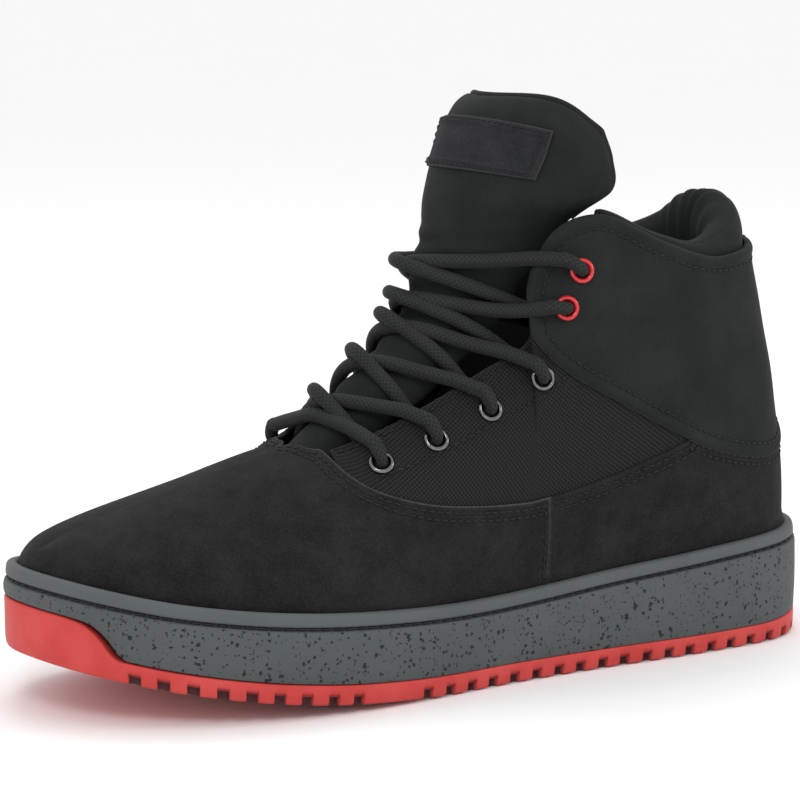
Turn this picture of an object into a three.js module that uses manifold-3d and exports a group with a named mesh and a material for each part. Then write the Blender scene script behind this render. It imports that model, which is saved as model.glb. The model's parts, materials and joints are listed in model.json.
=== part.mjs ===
// Left basketball high top sneaker, built from its separate sewn and moulded pieces.
// Millimetres. +X points to the heel, -X to the toe, -Y is the lateral side, +Z is up.
import * as THREE from 'three';
import Module from 'manifold-3d';

const wasm = await Module();
wasm.setup();

// ---------------------------------------------------------------- driving dimensions
const SHOE_LENGTH = 302;        // heel to toe, over the sole
const SHOE_WIDTH = 110.5;       // over the sole at the ball
const UPPER_HEIGHT = 1.0;       // scale on every height of the upper above the sole's rim
const RIM_BALL_HEIGHT = 33.5;   // top of the cupsole at the ball
const TOE_SPRING = 20;          // lift of the outsole at the toe tip
const OUTSOLE_BAND = 7;         // height of the red band seen from the side
const RIM_THICKNESS = 2.4;      // cupsole wall at its top edge
const GROOVE_BELOW_RIM = 4.9;   // middle of the stitched groove, under the top of the cupsole
const WALL_THICKNESS = 6.4;     // cupsole wall below the upper
const FIT_GAP = 0.35;           // clearance between neighbouring pieces
const VAMP_THICKNESS = 2.4;     // suede with its folded edge
const QUARTER_THICKNESS = 1.3;  // canvas
const ANKLE_THICKNESS = 2.2;    // backed textile
const STAY_THICKNESS = 3.2;     // strip up the back seam
const STIFFENER_THICKNESS = 1.3;
const LINING_THICKNESS = 1.0;
const INSOLE_THICKNESS = 4.6;
const LACE_RADIUS = 2.3;
const LACE_RADIUS_IN_EYELET = 1.9;
const LACE_CLEARANCE = 1.2;     // between the lace and the tongue or the underside of a panel
const EYELET_BORE = 2.35;       // inner radius of the eyelet barrel
const EYELET_BARREL = 2.9;      // outer radius of the barrel
const EYELET_FLANGE = 4.3;
const EYELET_INSET = 12.5;      // eyelet centre back from the eyestay edge
const MEDIAL_FORWARD = 7;       // medial eyelets sit this far ahead of the lateral ones
const TONGUE_SCALE = 1.0;       // scale on the tongue's width
const NOTCH_PITCH = 9.4;        // tread notches round the side of the outsole

// ---------------------------------------------------------------- small vector kit
const add = (a, b) => [a[0] + b[0], a[1] + b[1], a[2] + b[2]];
const sub = (a, b) => [a[0] - b[0], a[1] - b[1], a[2] - b[2]];
const mul = (a, k) => [a[0] * k, a[1] * k, a[2] * k];
const dot = (a, b) => a[0] * b[0] + a[1] * b[1] + a[2] * b[2];
const cross = (a, b) => [a[1] * b[2] - a[2] * b[1], a[2] * b[0] - a[0] * b[2], a[0] * b[1] - a[1] * b[0]];
const unit = (a) => mul(a, 1 / Math.hypot(...a));
const mix = (a, b, t) => add(mul(a, 1 - t), mul(b, t));
const clamp = (x, lo, hi) => Math.min(hi, Math.max(lo, x));
const smooth = (x) => { const t = clamp(x, 0, 1); return t * t * (3 - 2 * t); };
const steps = (a, b, n) => Array.from({ length: n + 1 }, (_, i) => a + ((b - a) * i) / n);

// Catmull-Rom blend of four values or vectors.
function blend4(p0, p1, p2, p3, f) {
  const one = (a, b, c, d) => 0.5 * (2 * b + (c - a) * f + (2 * a - 5 * b + 4 * c - d) * f * f
    + (3 * b - a - 3 * c + d) * f * f * f);
  return Array.isArray(p1) ? p1.map((_, i) => one(p0[i], p1[i], p2[i], p3[i])) : one(p0, p1, p2, p3);
}

// A smooth height profile through [position, value] pairs.
function profile(pairs) {
  const slope = pairs.map((_, i) => {
    const a = pairs[Math.max(0, i - 1)], b = pairs[Math.min(pairs.length - 1, i + 1)];
    return (b[1] - a[1]) / (b[0] - a[0]);
  });
  return (x) => {
    if (x <= pairs[0][0]) return pairs[0][1];
    const last = pairs.length - 1;
    if (x >= pairs[last][0]) return pairs[last][1];
    let i = 0;
    while (pairs[i + 1][0] < x) i++;
    const h = pairs[i + 1][0] - pairs[i][0], t = (x - pairs[i][0]) / h;
    return pairs[i][1] * (1 + 2 * t) * (1 - t) ** 2 + pairs[i + 1][1] * t * t * (3 - 2 * t)
      + h * (slope[i] * t * (1 - t) ** 2 - slope[i + 1] * t * t * (1 - t));
  };
}

// ---------------------------------------------------------------- sole shape
const LX = SHOE_LENGTH / 302, LY = SHOE_WIDTH / 110.5, RZ = RIM_BALL_HEIGHT / 33.5;
const LATERAL = [[151, 2], [147, -20], [130, -36], [95, -41.5], [50, -43], [10, -46], [-30, -52.5],
  [-62, -55.5], [-92, -52], [-120, -41], [-141, -22], [-150, 3]];
const MEDIAL = [[151, 2], [147, 23], [130, 36], [95, 39], [50, 37.5], [10, 39], [-30, 47],
  [-62, 53.6], [-92, 54.8], [-120, 48], [-141, 29], [-150, 3]];
const LOOP = [...LATERAL, ...MEDIAL.slice(1, 11).reverse()].map(([x, y]) => [x * LX, y * LY]);
const LOOP_N = LOOP.length;     // outline position runs 0 heel, 11 toe, 22 heel again

function outline(s) {
  const t = ((s % LOOP_N) + LOOP_N) % LOOP_N, i = Math.floor(t), f = t - i;
  const p = (k) => LOOP[(i + k + LOOP_N) % LOOP_N];
  return blend4(p(-1), p(0), p(1), p(2), f);
}
function outlineNormal(s) {
  const a = outline(s - 0.02), b = outline(s + 0.02), dx = b[0] - a[0], dy = b[1] - a[1];
  const k = 1 / Math.hypot(dx, dy);
  return [-dy * k, dx * k];     // points outward for the heel, lateral, toe direction
}
function inset(s, d) {
  const p = outline(s), n = outlineNormal(s);
  return [p[0] - n[0] * d, p[1] - n[1] * d];
}
const rimBase = profile([[-150, 48], [-110, 39.5], [-60, 33.5], [0, 30.5], [60, 34.5], [151, 41]]);
const rimZ = (x) => rimBase(x / LX) * RZ;
const bottomZ = (x) => (x < 0 ? TOE_SPRING * (x / (150 * LX)) ** 2 : 0);
// top of the red rubber: a thin band, rising into the bumper at the toe and a little at the heel
const bandBase = profile([[-150, 17], [-139, 16.5], [-134.5, 13], [-131.5, 8.5], [-129, 7], [-60, 7],
  [0, 7], [120, 7], [140, 8.5], [151, 10.5]]);
const bandZ = (x) => bottomZ(x) + (bandBase(x / LX) * OUTSOLE_BAND) / 7;

// ---------------------------------------------------------------- upper surface
// One station per row, heel to toe: outline position, bulge out, bulge height, top point
// x, y, z, and the offset of the control point below the top point. Heights are above the
// ground for the standard rim.
const STATIONS = [
  [0.0, 0, 34, 130.5, 0, 143, 4, 0, -36],
  [1.0, 1.5, 33, 126, -14, 143, 4, -3, -34],
  [2.0, 6, 31, 116, -26, 140.5, 3, -6, -32],
  [2.85, 8, 30, 97, -33, 139.5, 0, -6, -30],
  [3.42, 8, 32, 76, -35, 146, -2, -5, -34],
  [3.9, 8, 33, 52, -33, 156, -3, -6, -38],
  [4.3, 8, 31, 36, -28, 150, -3, -9, -38],
  [4.62, 8, 28, 27, -27, 132, -3, -11, -34],
  [4.95, 9, 26, 27, -27.5, 114, -3, -12, -26],
  [5.4, 9, 24, 9, -26.5, 104, -3, -13, -20],
  [5.9, 9, 22, -14, -25, 92.5, -3, -14, -14],
  [6.4, 9, 20, -33, -22, 84, -3, -15, -10],
  [6.9, 9, 18, -46, -15, 79, -3, -17, -6],
  [7.4, 9, 18, -54, 0, 78, -4, -20, 0],
  [8.1, 8, 17, -82, 1, 70, -2, -20, 0],
  [8.9, 7, 16, -109, 2, 62.3, -2, -16, 0],
  [9.9, 4, 12, -129, 3, 55.5, -2, -10, 0],
  [11.0, 1.5, 8, -138, 3, 51, -3, 0, 0],
];
const NS = STATIONS.length - 1;     // upper position U runs 0 at the heel to 17 at the toe
const THROAT = 13;                  // ahead of this both sides share the ridge
const UPPER_INSET = RIM_THICKNESS + 1.8 + VAMP_THICKNESS + FIT_GAP + 0.25;
const raise = (x, z) => rimZ(x * LX) + (z - rimBase(x)) * UPPER_HEIGHT;

function stationRow(index, side) {
  let i = index, flip = false;
  if (i < 0) { i = -i; flip = true; }
  if (i > NS) { i = 2 * NS - i; flip = true; }
  const [s, o, h, x, y, z, ox, oy, oz] = STATIONS[i];
  const where = flip ? (index < 0 ? -s : 2 * 11 - s) : s;
  const side2 = flip ? -side : side;
  const y2 = i >= THROAT ? y : side2 < 0 ? y : -y;
  const oy2 = side2 < 0 ? oy : -oy;
  return [where, o, h, x * LX, y2 * LY, raise(x, z), ox, oy2 * LY, oz * UPPER_HEIGHT];
}

function controls(side, U) {
  const i = clamp(Math.floor(U), 0, NS - 1), f = U - i;
  const r = blend4(stationRow(i - 1, side), stationRow(i, side), stationRow(i + 1, side),
    stationRow(i + 2, side), f);
  const s = side < 0 ? r[0] : -r[0];
  // set in further where the wall leans out, so the upper just clears the rim
  const n = outlineNormal(s), p = inset(s, UPPER_INSET + (5.2 * r[1]) / r[2]);
  const F = [p[0], p[1], rimZ(outline(s)[0]) - 5.6];
  const T = [r[3], r[4], r[5]];
  return [F, [F[0] + n[0] * r[1], F[1] + n[1] * r[1], F[2] + r[2]], add(T, [r[6], r[7], r[8]]), T];
}

function surface(side, U, v) {
  const [a, b, c, d] = controls(side, U);
  const w = 1 - v, k = [w * w * w, 3 * w * w * v, 3 * w * v * v, v * v * v];
  return [0, 1, 2].map((j) => k[0] * a[j] + k[1] * b[j] + k[2] * c[j] + k[3] * d[j]);
}
const FOLD_FROM = 6.7, FOLD_TO = 8.2;     // here the top edge runs straight down the column
function surfaceNormal(side, U, v) {
  if (U > FOLD_FROM && U < FOLD_TO) {
    return unit(mix(surfaceNormal(side, FOLD_FROM, v), surfaceNormal(side, FOLD_TO, v),
      (U - FOLD_FROM) / (FOLD_TO - FOLD_FROM)));
  }
  // the toe tip is a pole, so its normal is read a little way off it
  const a = Math.min(U, NS - 0.3 * v), b = U > 15 ? Math.min(v, 0.95) : v, e = 0.02;
  const u0 = Math.max(0, a - e), u1 = Math.min(NS, a + e), v0 = Math.max(0, b - e), v1 = Math.min(1, b + e);
  const du = sub(surface(side, u1, b), surface(side, u0, b));
  const dv = sub(surface(side, a, v1), surface(side, a, v0));
  return unit(mul(cross(du, dv), side < 0 ? -1 : 1));
}
const onUpper = (side, U, v, d) => add(surface(side, U, v), mul(surfaceNormal(side, U, v), d));

// Position up the side, 0 to 1, where the upper reaches a height.
function atHeight(side, U, z) {
  let lo = 0, hi = 1;
  for (let i = 0; i < 28; i++) {
    const m = (lo + hi) / 2;
    if (surface(side, U, m)[2] < z) lo = m; else hi = m;
  }
  return (lo + hi) / 2;
}

// ---------------------------------------------------------------- seam lines
const seamHeight = profile([[3.5, 77.5], [4, 73.5], [4.5, 70], [5, 66.8], [6, 63], [7, 61.5], [8, 61],
  [9, 61.5], [10, 63.5], [11, 68], [11.6, 73], [12, 79]]);
const ankleHeight = profile([[0, 80], [1, 75], [2, 67], [3, 71], [4, 81.5], [5, 94], [6, 104],
  [7, 115], [7.5, 122]]);
const seamX = (U) => surface(-1, U, 0.4)[0];
const lift = (U, z) => raise(seamX(U) / LX, z);
const seamV = (side, U) => (U >= 12 ? 1 : atHeight(side, U, lift(U, seamHeight(U))));
const ankleV = (side, U) => (U >= 7.5 ? 1 : atHeight(side, U, lift(U, ankleHeight(U))));
const GAP_V = 0.008;                // seam clearance as a part of the panel height
const SIDE_SEAM = 6.75;             // where the toe suede meets the heel suede
const QUARTER_REAR = 3.6, QUARTER_FRONT = 11.75;
const ANKLE_FRONT = 7.35, STAY_HALF = 0.4;

// Shared column positions, so neighbouring pieces have matching facets.
const COLUMNS = [...steps(0, 11.5, 23), 11.75, ...steps(12, 13, 2), 14, 15, ...steps(15.5, 17, 3)];
const columnsBetween = (a, b) => [a, ...COLUMNS.filter((u) => u > a + 0.06 && u < b - 0.06), b];

// ---------------------------------------------------------------- mesh building
// A sheet of quads with welded corners; thicken() turns it into one closed shell.
class Sheet {
  constructor() { this.points = []; this.normals = []; this.faces = []; }
  vertex(p, n) {
    let i = this.points.findIndex((q) => Math.abs(q[0] - p[0]) + Math.abs(q[1] - p[1])
      + Math.abs(q[2] - p[2]) < 0.01);
    if (i < 0) {
      i = this.points.length;
      this.points.push(p);
      this.normals.push([0, 0, 0]);
    }
    this.normals[i] = add(this.normals[i], n);
    return i;
  }
  tri(a, b, c) { if (a !== b && b !== c && a !== c) this.faces.push([a, b, c]); }
  // rows[i][j] holds [point, normal]; flip turns the faces over
  grid(rows, flip) {
    const ids = rows.map((row) => row.map(([p, n]) => this.vertex(p, n)));
    for (let i = 0; i + 1 < ids.length; i++) {
      for (let j = 0; j + 1 < ids[i].length; j++) {
        const [a, b, c, d] = [ids[i][j], ids[i + 1][j], ids[i + 1][j + 1], ids[i][j + 1]];
        if (flip) { this.tri(a, c, b); this.tri(a, d, c); } else { this.tri(a, b, c); this.tri(a, c, d); }
      }
    }
    return this;
  }
  // inner and outer are offsets along the normals, or functions of the vertex number
  thicken(inner, outer) {
    const n = this.points.length, at = (f, i) => (typeof f === 'function' ? f(i) : f);
    const nn = this.normals.map(unit);
    const verts = [...this.points.map((p, i) => add(p, mul(nn[i], at(outer, i)))),
      ...this.points.map((p, i) => add(p, mul(nn[i], at(inner, i))))];
    const tris = [], edges = new Map();
    for (const [a, b, c] of this.faces) {
      tris.push([a, b, c], [a + n, c + n, b + n]);
      for (const [p, q] of [[a, b], [b, c], [c, a]]) edges.set(`${p},${q}`, [p, q]);
    }
    for (const [p, q] of edges.values()) {
      if (!edges.has(`${q},${p}`)) tris.push([p, p + n, q + n], [p, q + n, q]);
    }
    return solid(verts, tris);
  }
}

function solid(verts, tris) {
  const g = new THREE.BufferGeometry();
  const at = (i) => verts[i].map((c) => Math.round(c * 1e4) / 1e4);
  g.setAttribute('position', new THREE.Float32BufferAttribute(
    tris.flatMap(([a, b, c]) => [...at(a), ...at(b), ...at(c)]), 3));
  g.computeVertexNormals();
  let volume = 0;
  for (const [a, b, c] of tris) volume += dot(verts[a], cross(verts[b], verts[c]));
  if (volume < 0) {
    return solid(verts, tris.map(([a, b, c]) => [a, c, b]));
  }
  g.userData = { verts, tris };
  return g;
}

// A closed tube of rings; each ring is a list of points, capped by a fan or left as a loop.
function rings(list, closed) {
  const m = list[0].length, verts = list.flat(), tris = [];
  const last = closed ? list.length : list.length - 1;
  for (let i = 0; i < last; i++) {
    const a = i * m, b = ((i + 1) % list.length) * m;
    for (let j = 0; j < m; j++) {
      const k = (j + 1) % m;
      tris.push([a + j, b + j, b + k], [a + j, b + k, a + k]);
    }
  }
  if (!closed) {
    for (const [base, turn] of [[0, false], [(list.length - 1) * m, true]]) {
      const c = verts.length;
      verts.push(mul(list[base / m].reduce(add), 1 / m));
      for (let j = 0; j < m; j++) {
        const k = (j + 1) % m;
        tris.push(turn ? [c, base + k, base + j].reverse() : [c, base + k, base + j]);
      }
    }
  }
  return solid(verts, fixWinding(verts, tris));
}
// Turns faces so every shared edge runs both ways.
function fixWinding(verts, tris) {
  const owner = new Map();
  tris.forEach((t, i) => t.forEach((p, k) => {
    const q = t[(k + 1) % 3], key = p < q ? `${p},${q}` : `${q},${p}`;
    if (!owner.has(key)) owner.set(key, []);
    owner.get(key).push(i);
  }));
  const out = tris.map((t) => [...t]), seen = new Array(tris.length).fill(false), stack = [0];
  seen[0] = true;
  while (stack.length) {
    const i = stack.pop(), t = out[i];
    for (let k = 0; k < 3; k++) {
      const p = t[k], q = t[(k + 1) % 3], key = p < q ? `${p},${q}` : `${q},${p}`;
      for (const j of owner.get(key)) {
        if (seen[j]) continue;
        const o = out[j], same = [0, 1, 2].some((m) => o[m] === p && o[(m + 1) % 3] === q);
        if (same) out[j] = [o[0], o[2], o[1]];
        seen[j] = true;
        stack.push(j);
      }
    }
  }
  return out;
}

// A slab with loops of outline points; top and bottom are zipped across between the two sides.
const LOOP_SAMPLES = 64;            // even, so lateral and medial samples pair up
const loopS = Array.from({ length: LOOP_SAMPLES }, (_, i) => (i * LOOP_N) / LOOP_SAMPLES);
function slab(loops) {
  const m = LOOP_SAMPLES, verts = loops.flat(), tris = [];
  for (let i = 0; i + 1 < loops.length; i++) {
    for (let j = 0; j < m; j++) {
      const k = (j + 1) % m, a = i * m, b = a + m;
      tris.push([a + j, a + k, b + k], [a + j, b + k, b + j]);
    }
  }
  const cap = (base) => {
    for (let j = 0; j < m / 2; j++) {
      const a = base + j, b = base + j + 1, c = base + ((m - j) % m), d = base + ((m - j - 1) % m);
      if (a !== c) tris.push([a, b, c]);
      if (b !== d) tris.push([b, d, c]);
    }
  };
  cap(0);
  cap((loops.length - 1) * m);
  return solid(verts, fixWinding(verts, tris));
}
const loopAt = (d, z) => loopS.map((s) => [...inset(s, d), z(outline(s)[0])]);

function toManifold(g) {
  const { verts, tris } = g.userData;
  return new wasm.Manifold(new wasm.Mesh({ numProp: 3, vertProperties: new Float32Array(verts.flat()),
    triVerts: new Uint32Array(tris.flat()) }));
}
function fromManifold(m) {
  const mesh = m.getMesh(), p = mesh.vertProperties, verts = [], tris = [];
  for (let i = 0; i < p.length; i += mesh.numProp) verts.push([p[i], p[i + 1], p[i + 2]]);
  for (let i = 0; i < mesh.triVerts.length; i += 3) tris.push([...mesh.triVerts.slice(i, i + 3)]);
  return solid(verts, tris);
}
const cut = (g, tools) => fromManifold(toManifold(g).subtract(wasm.Manifold.union(tools)));

// Box or cylinder placed with its own axes, for cutting.
function placed(m, origin, ex, ey, ez) {
  return m.transform([...ex, 0, ...ey, 0, ...ez, 0, ...origin, 1]);
}

// ---------------------------------------------------------------- materials
const finish = (color, roughness, metalness = 0) => new THREE.MeshStandardMaterial({ color, roughness, metalness });
const SUEDE = finish('#2a2a2c', 0.95);
const CANVAS = finish('#2e2f31', 0.9);
const TEXTILE = finish('#2b2e2e', 0.85);
const RED_RUBBER = finish('#d4453f', 0.6);
const GREY_RUBBER = finish('#555b5b', 0.65);
const FOAM = finish('#c9c9c4', 0.8);
const BOARD = finish('#8a7a63', 0.9);
const LINING = finish('#26282a', 0.9);
const GUNMETAL = finish('#3a3b3d', 0.35, 0.9);
const RED_METAL = finish('#c22a2c', 0.35, 0.4);
const CORD = finish('#1f2022', 0.85);
const TIP = finish('#141416', 0.3);
const PATCH = finish('#313236', 0.9);

const group = new THREE.Group();
function piece(name, geometry, material) {
  const mesh = new THREE.Mesh(geometry, material);
  mesh.name = name;
  group.add(mesh);
}

// ---------------------------------------------------------------- sole
function notchTools() {
  const tools = [];
  let travelled = NOTCH_PITCH / 2;
  for (let s = 0.9; s < LOOP_N - 0.9; s += 0.01) {
    travelled += Math.hypot(...sub([...outline(s + 0.01), 0], [...outline(s), 0]));
    if (travelled < NOTCH_PITCH) continue;
    travelled -= NOTCH_PITCH;
    const [x, y] = outline(s), n = outlineNormal(s);
    if (x / LX < -127 || Math.abs(x / LX + 38) < 9) continue;
    const wide = NOTCH_PITCH * 0.42, deep = 2.6, tall = OUTSOLE_BAND * 0.48;
    const box = wasm.Manifold.cube([wide, 2 * deep, tall], true);
    const z = bottomZ(x) - 0.4 + tall / 2;     // open at the tread
    tools.push(placed(box, [x, y, z], [n[1], -n[0], 0], [n[0], n[1], 0], [0, 0, 1]));
  }
  for (const x of [-94, -80, -66, -52, -38, 22, 84, 100, 116]) {
    const box = wasm.Manifold.cube([3, (x < 0 ? 78 : 56) * LY, 3.2], true);
    tools.push(placed(box, [x * LX, (x < 0 ? -1 : -0.5) * LY, bottomZ(x * LX)], [1, 0, 0], [0, 1, 0], [0, 0, 1]));
  }
  return tools;
}
function makeOutsole() {
  const plateTop = (x) => bottomZ(x) + OUTSOLE_BAND * 0.6;
  const body = slab([
    loopAt(3.2, (x) => bottomZ(x)),
    loopAt(0.7, (x) => bottomZ(x) + 1.6),
    loopAt(0, (x) => bandZ(x) - 1.2),
    loopAt(0, (x) => bandZ(x)),
    loopAt(WALL_THICKNESS, (x) => bandZ(x)),
    loopAt(WALL_THICKNESS + 0.4, plateTop),
  ]);
  return cut(body, notchTools());
}
function makeCupsole() {
  const section = (s) => {
    const x = outline(s)[0], r = rimZ(x);
    const b = Math.max(bandZ(x - 2), bandZ(x), bandZ(x + 2)) + FIT_GAP;
    return [[0, b], [0.5, r - GROOVE_BELOW_RIM - 0.9], [1.3, r - GROOVE_BELOW_RIM - 0.4],
      [1.3, r - GROOVE_BELOW_RIM + 0.4], [0.8, r - GROOVE_BELOW_RIM + 0.9], [1.4, r - 1.0], [1.9, r],
      [1.8 + RIM_THICKNESS - 0.3, r], [1.8 + RIM_THICKNESS, r - 6.6], [WALL_THICKNESS, r - 7.2], [WALL_THICKNESS, b]]
      .map(([d, z]) => [...inset(s, d), z]);
  };
  return rings(loopS.map(section), true);
}
function makeSoleFill() {
  const in1 = WALL_THICKNESS + 0.9;
  const plateTop = (x) => bottomZ(x) + OUTSOLE_BAND * 0.6 + 0.5;
  piece('midsole_foam', slab([loopAt(in1, plateTop), loopAt(in1, (x) => rimZ(x) - 7.8)]), FOAM);
  const in2 = UPPER_INSET + 10;
  piece('lasting_board', slab([loopAt(in2, (x) => rimZ(x) - 7.4), loopAt(in2, (x) => rimZ(x) - 5.6)]), BOARD);
  piece('insole', slab([loopAt(in2 + 0.3, (x) => rimZ(x) - 5.2),
    loopAt(in2 + 0.3, (x) => rimZ(x) - 5.2 + INSOLE_THICKNESS)]), LINING);
}

// ---------------------------------------------------------------- panels of the upper
// Adds one side of a band between two seam functions to a sheet.
function band(sheet, side, columns, lo, hi, n) {
  const rows = columns.map((U) => {
    const a = lo(side, U), b = hi(side, U);
    return steps(0, 1, n).map((t) => {
      const v = a + (b - a) * t;
      return [surface(side, U, v), surfaceNormal(side, U, v)];
    });
  });
  return sheet.grid(rows, side < 0);
}
const LOW = () => 0, TOP = () => 1;

function makeVamp() {
  const sheet = new Sheet();
  for (const side of [-1, 1]) {
    band(sheet, side, columnsBetween(SIDE_SEAM + 0.02, NS), LOW, seamV, 5);
  }
  return sheet.thicken(0, VAMP_THICKNESS);
}
function makeHeelPanel() {
  const sheet = new Sheet();
  const top = (side, U) => Math.min(ankleV(side, U), U < 3.6 ? 1 : seamV(side, U)) - GAP_V;
  for (const side of [-1, 1]) band(sheet, side, columnsBetween(0, SIDE_SEAM - 0.02), LOW, top, 5);
  return sheet.thicken(0, VAMP_THICKNESS);
}
function makeQuarter(side) {
  const lo = (s, U) => seamV(s, U) + GAP_V;
  const hi = (s, U) => {
    if (U >= ANKLE_FRONT + 0.5) return 1;
    const under = ankleV(s, Math.min(U, ANKLE_FRONT)) - GAP_V;
    return U <= ANKLE_FRONT ? under : under + (1 - under) * smooth((U - ANKLE_FRONT) / 0.5);
  };
  const sheet = band(new Sheet(), side, columnsBetween(QUARTER_REAR, QUARTER_FRONT), lo, hi, 4);
  return sheet.thicken(0, QUARTER_THICKNESS);
}
function makeAnklePanel(side) {
  const sheet = band(new Sheet(), side, columnsBetween(STAY_HALF, ANKLE_FRONT - 0.05), ankleV, TOP, 6);
  return sheet.thicken(0, ANKLE_THICKNESS);
}
function makeHeelStay() {
  const sheet = new Sheet();
  for (const side of [-1, 1]) band(sheet, side, columnsBetween(0, STAY_HALF - 0.03), ankleV, TOP, 6);
  return sheet.thicken(0, STAY_THICKNESS);
}
function makeToePuff() {
  const sheet = new Sheet();
  for (const side of [-1, 1]) band(sheet, side, columnsBetween(15, NS), LOW, TOP, 5);
  return sheet.thicken(-0.8 - STIFFENER_THICKNESS, -0.8);
}
function makeHeelCounter() {
  const sheet = new Sheet();
  for (const side of [-1, 1]) band(sheet, side, columnsBetween(0, 3), () => 0.03, () => 0.42, 4);
  return sheet.thicken(-0.8 - STIFFENER_THICKNESS, -0.8);
}
// The lining stops below the collar padding and below the eyelet rows.
const liningTop = profile([[0, 0.62], [5, 0.62], [6, 0.55], [7, 0.56], [8, 0.66], [9, 0.68], [11, 0.66],
  [12, 0.72], [13, 0.86]]);
function makeLining() {
  const sheet = new Sheet();
  const top = (side, U) => (U > THROAT ? 1 : liningTop(U));
  for (const side of [-1, 1]) band(sheet, side, columnsBetween(0, THROAT), LOW, top, 6);
  for (const side of [-1, 1]) {
    band(sheet, side, columnsBetween(THROAT, THROAT + 0.5), LOW, (s, U) => mix([0.86], [1], (U - THROAT) * 2)[0], 6);
    band(sheet, side, columnsBetween(THROAT + 0.5, NS), LOW, TOP, 6);
  }
  return sheet.thicken(-3.4 - LINING_THICKNESS, -3.4);
}

// Padded collar: a soft roll inside the ankle opening with a hump over the heel.
const padRise = profile([[0, 17], [1, 16], [2, 10.5], [3, 5.5], [4, 3], [5, 1.6]]);
const padDepth = profile([[0, 19], [1, 17], [2, 13.5], [3, 11], [4, 7.5], [5, 6]]);
function makeCollarPadding() {
  const END = 4.9;
  const ring = (side, U) => {
    const rise = padRise(U), deep = padDepth(U), T = surface(side, U, 1);
    const below = (z) => atHeight(side, U, T[2] - z);
    const under = (z, d) => onUpper(side, U, below(z), -0.7 - d * deep);
    const n = surfaceNormal(side, U, 0.97), flat = unit([n[0], n[1], 0]);
    const over = (z, d) => add(add(T, mul(flat, -0.9 - d * deep)), [0, 0, z * rise]);
    return [under(34, 0), under(18, 0), under(3, 0), over(0.35, 0.03), over(0.78, 0.2), over(1, 0.5),
      over(0.85, 0.82), over(0.2, 1), under(8, 1.0), under(20, 0.95), under(30, 0.7), under(37, 0.3)];
  };
  const cols = columnsBetween(0, END);
  return rings([...cols.slice(1).reverse().map((U) => ring(-1, U)), ring(-1, 0),
    ...cols.slice(1).map((U) => ring(1, U))], false);
}

// ---------------------------------------------------------------- tongue
// Centre line up the front, as rows of x, z, half width, wrap depth and thickness.
const TONGUE = [
  [-67, 72.5, 11, 1.5, 1.2], [-60.5, 74.4, 12, 1.8, 1.2], [-54, 76.05, 12, 3.5, 1.4], [-42, 85.8, 14.5, 13, 4],
  [-29, 98, 17.5, 16, 6], [-17, 108.5, 19, 19, 7], [-8.5, 117.5, 19.5, 21, 7.5], [-3.5, 127, 19.5, 30, 8],
  [-1, 138, 20, 40, 9], [2, 150, 23, 50, 9.5], [4.5, 161, 33.8, 61.5, 11], [9, 173, 38.5, 54, 12.5],
  [16, 186, 39.5, 40, 12], [24.5, 198, 36.5, 31, 9],
];
const HINGE_ROW = 9;                 // the free flap starts here, above the top lace
const WRAP = (82 * Math.PI) / 180;
function tongueRow(a) {
  const n = TONGUE.length - 1, i = clamp(Math.floor(a), 0, n - 1), f = a - i;
  const row = (k) => {
    if (k < 0) return TONGUE[0].map((c, j) => 2 * c - TONGUE[1][j]);
    if (k > n) return TONGUE[n].map((c, j) => 2 * c - TONGUE[n - 1][j]);
    return TONGUE[k];
  };
  const r = blend4(row(i - 1), row(i), row(i + 1), row(i + 2), f);
  // the edges leave room for the lace below the hinge, and the wrap follows the length
  const room = 2 * (LACE_RADIUS - 2.3) * smooth(a - 3) * (1 - smooth(a - HINGE_ROW + 1));
  return [r[0] * LX, raise(r[0], r[1]), r[2] * LY * TONGUE_SCALE - room, r[3] * LX, r[4]];
}
function tonguePoint(a, q) {         // q runs -1 lateral edge to 1 medial edge
  const [x, z, w, d] = tongueRow(a), b0 = tongueRow(a - 0.05), b1 = tongueRow(a + 0.05);
  // the wrap goes straight back above the laces, and square to the instep below them
  const t = unit([b1[0] - b0[0], 0, b1[1] - b0[1]]), up = unit([-t[2], 0, t[0] * (1 - smooth((a - 6.5) / 3))]);
  const angle = q * WRAP;
  return add([x, w * Math.sin(angle), z], mul(up, -d * (1 - Math.cos(angle))));
}
function tongueNormal(a, q) {
  const e = 0.03;
  const da = sub(tonguePoint(a + e, q), tonguePoint(a - e, q));
  const dq = sub(tonguePoint(a, q + e), tonguePoint(a, q - e));
  return unit(cross(da, dq));
}
function makeTongue(a0, a1, rows, round) {
  const sheet = new Sheet(), thick = [];
  const n = 12, grid = steps(0, 1, rows).map((t) => steps(-1, 1, n).map((q) => {
    const end = a1 - (round ? 1.15 * Math.abs(q) ** 4.5 : 0);
    const a = a0 + (end - a0) * t;
    const p = tonguePoint(a, q);
    const soft = 1 - 0.35 * Math.abs(q) ** 6 - (round ? 0.4 * t ** 8 : 0);
    thick.push([sheet.points.length, tongueRow(a)[4] * soft]);
    sheet.vertex(p, [0, 0, 0]);
    return [p, tongueNormal(a, q)];
  }));
  const depth = new Map(thick);
  sheet.grid(grid, true);
  return sheet.thicken((i) => -(depth.get(i) ?? 5), 0);
}
function makeTongueLabel() {
  const sheet = new Sheet();
  const grid = steps(0, 1, 4).map((t) => steps(-0.6, 0.6, 10).map((q) => {
    const a = 10.85 + 1.35 * t;
    return [tonguePoint(a, q), tongueNormal(a, q)];
  }));
  return sheet.grid(grid, true).thicken(0.5, 1.8);
}

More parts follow.
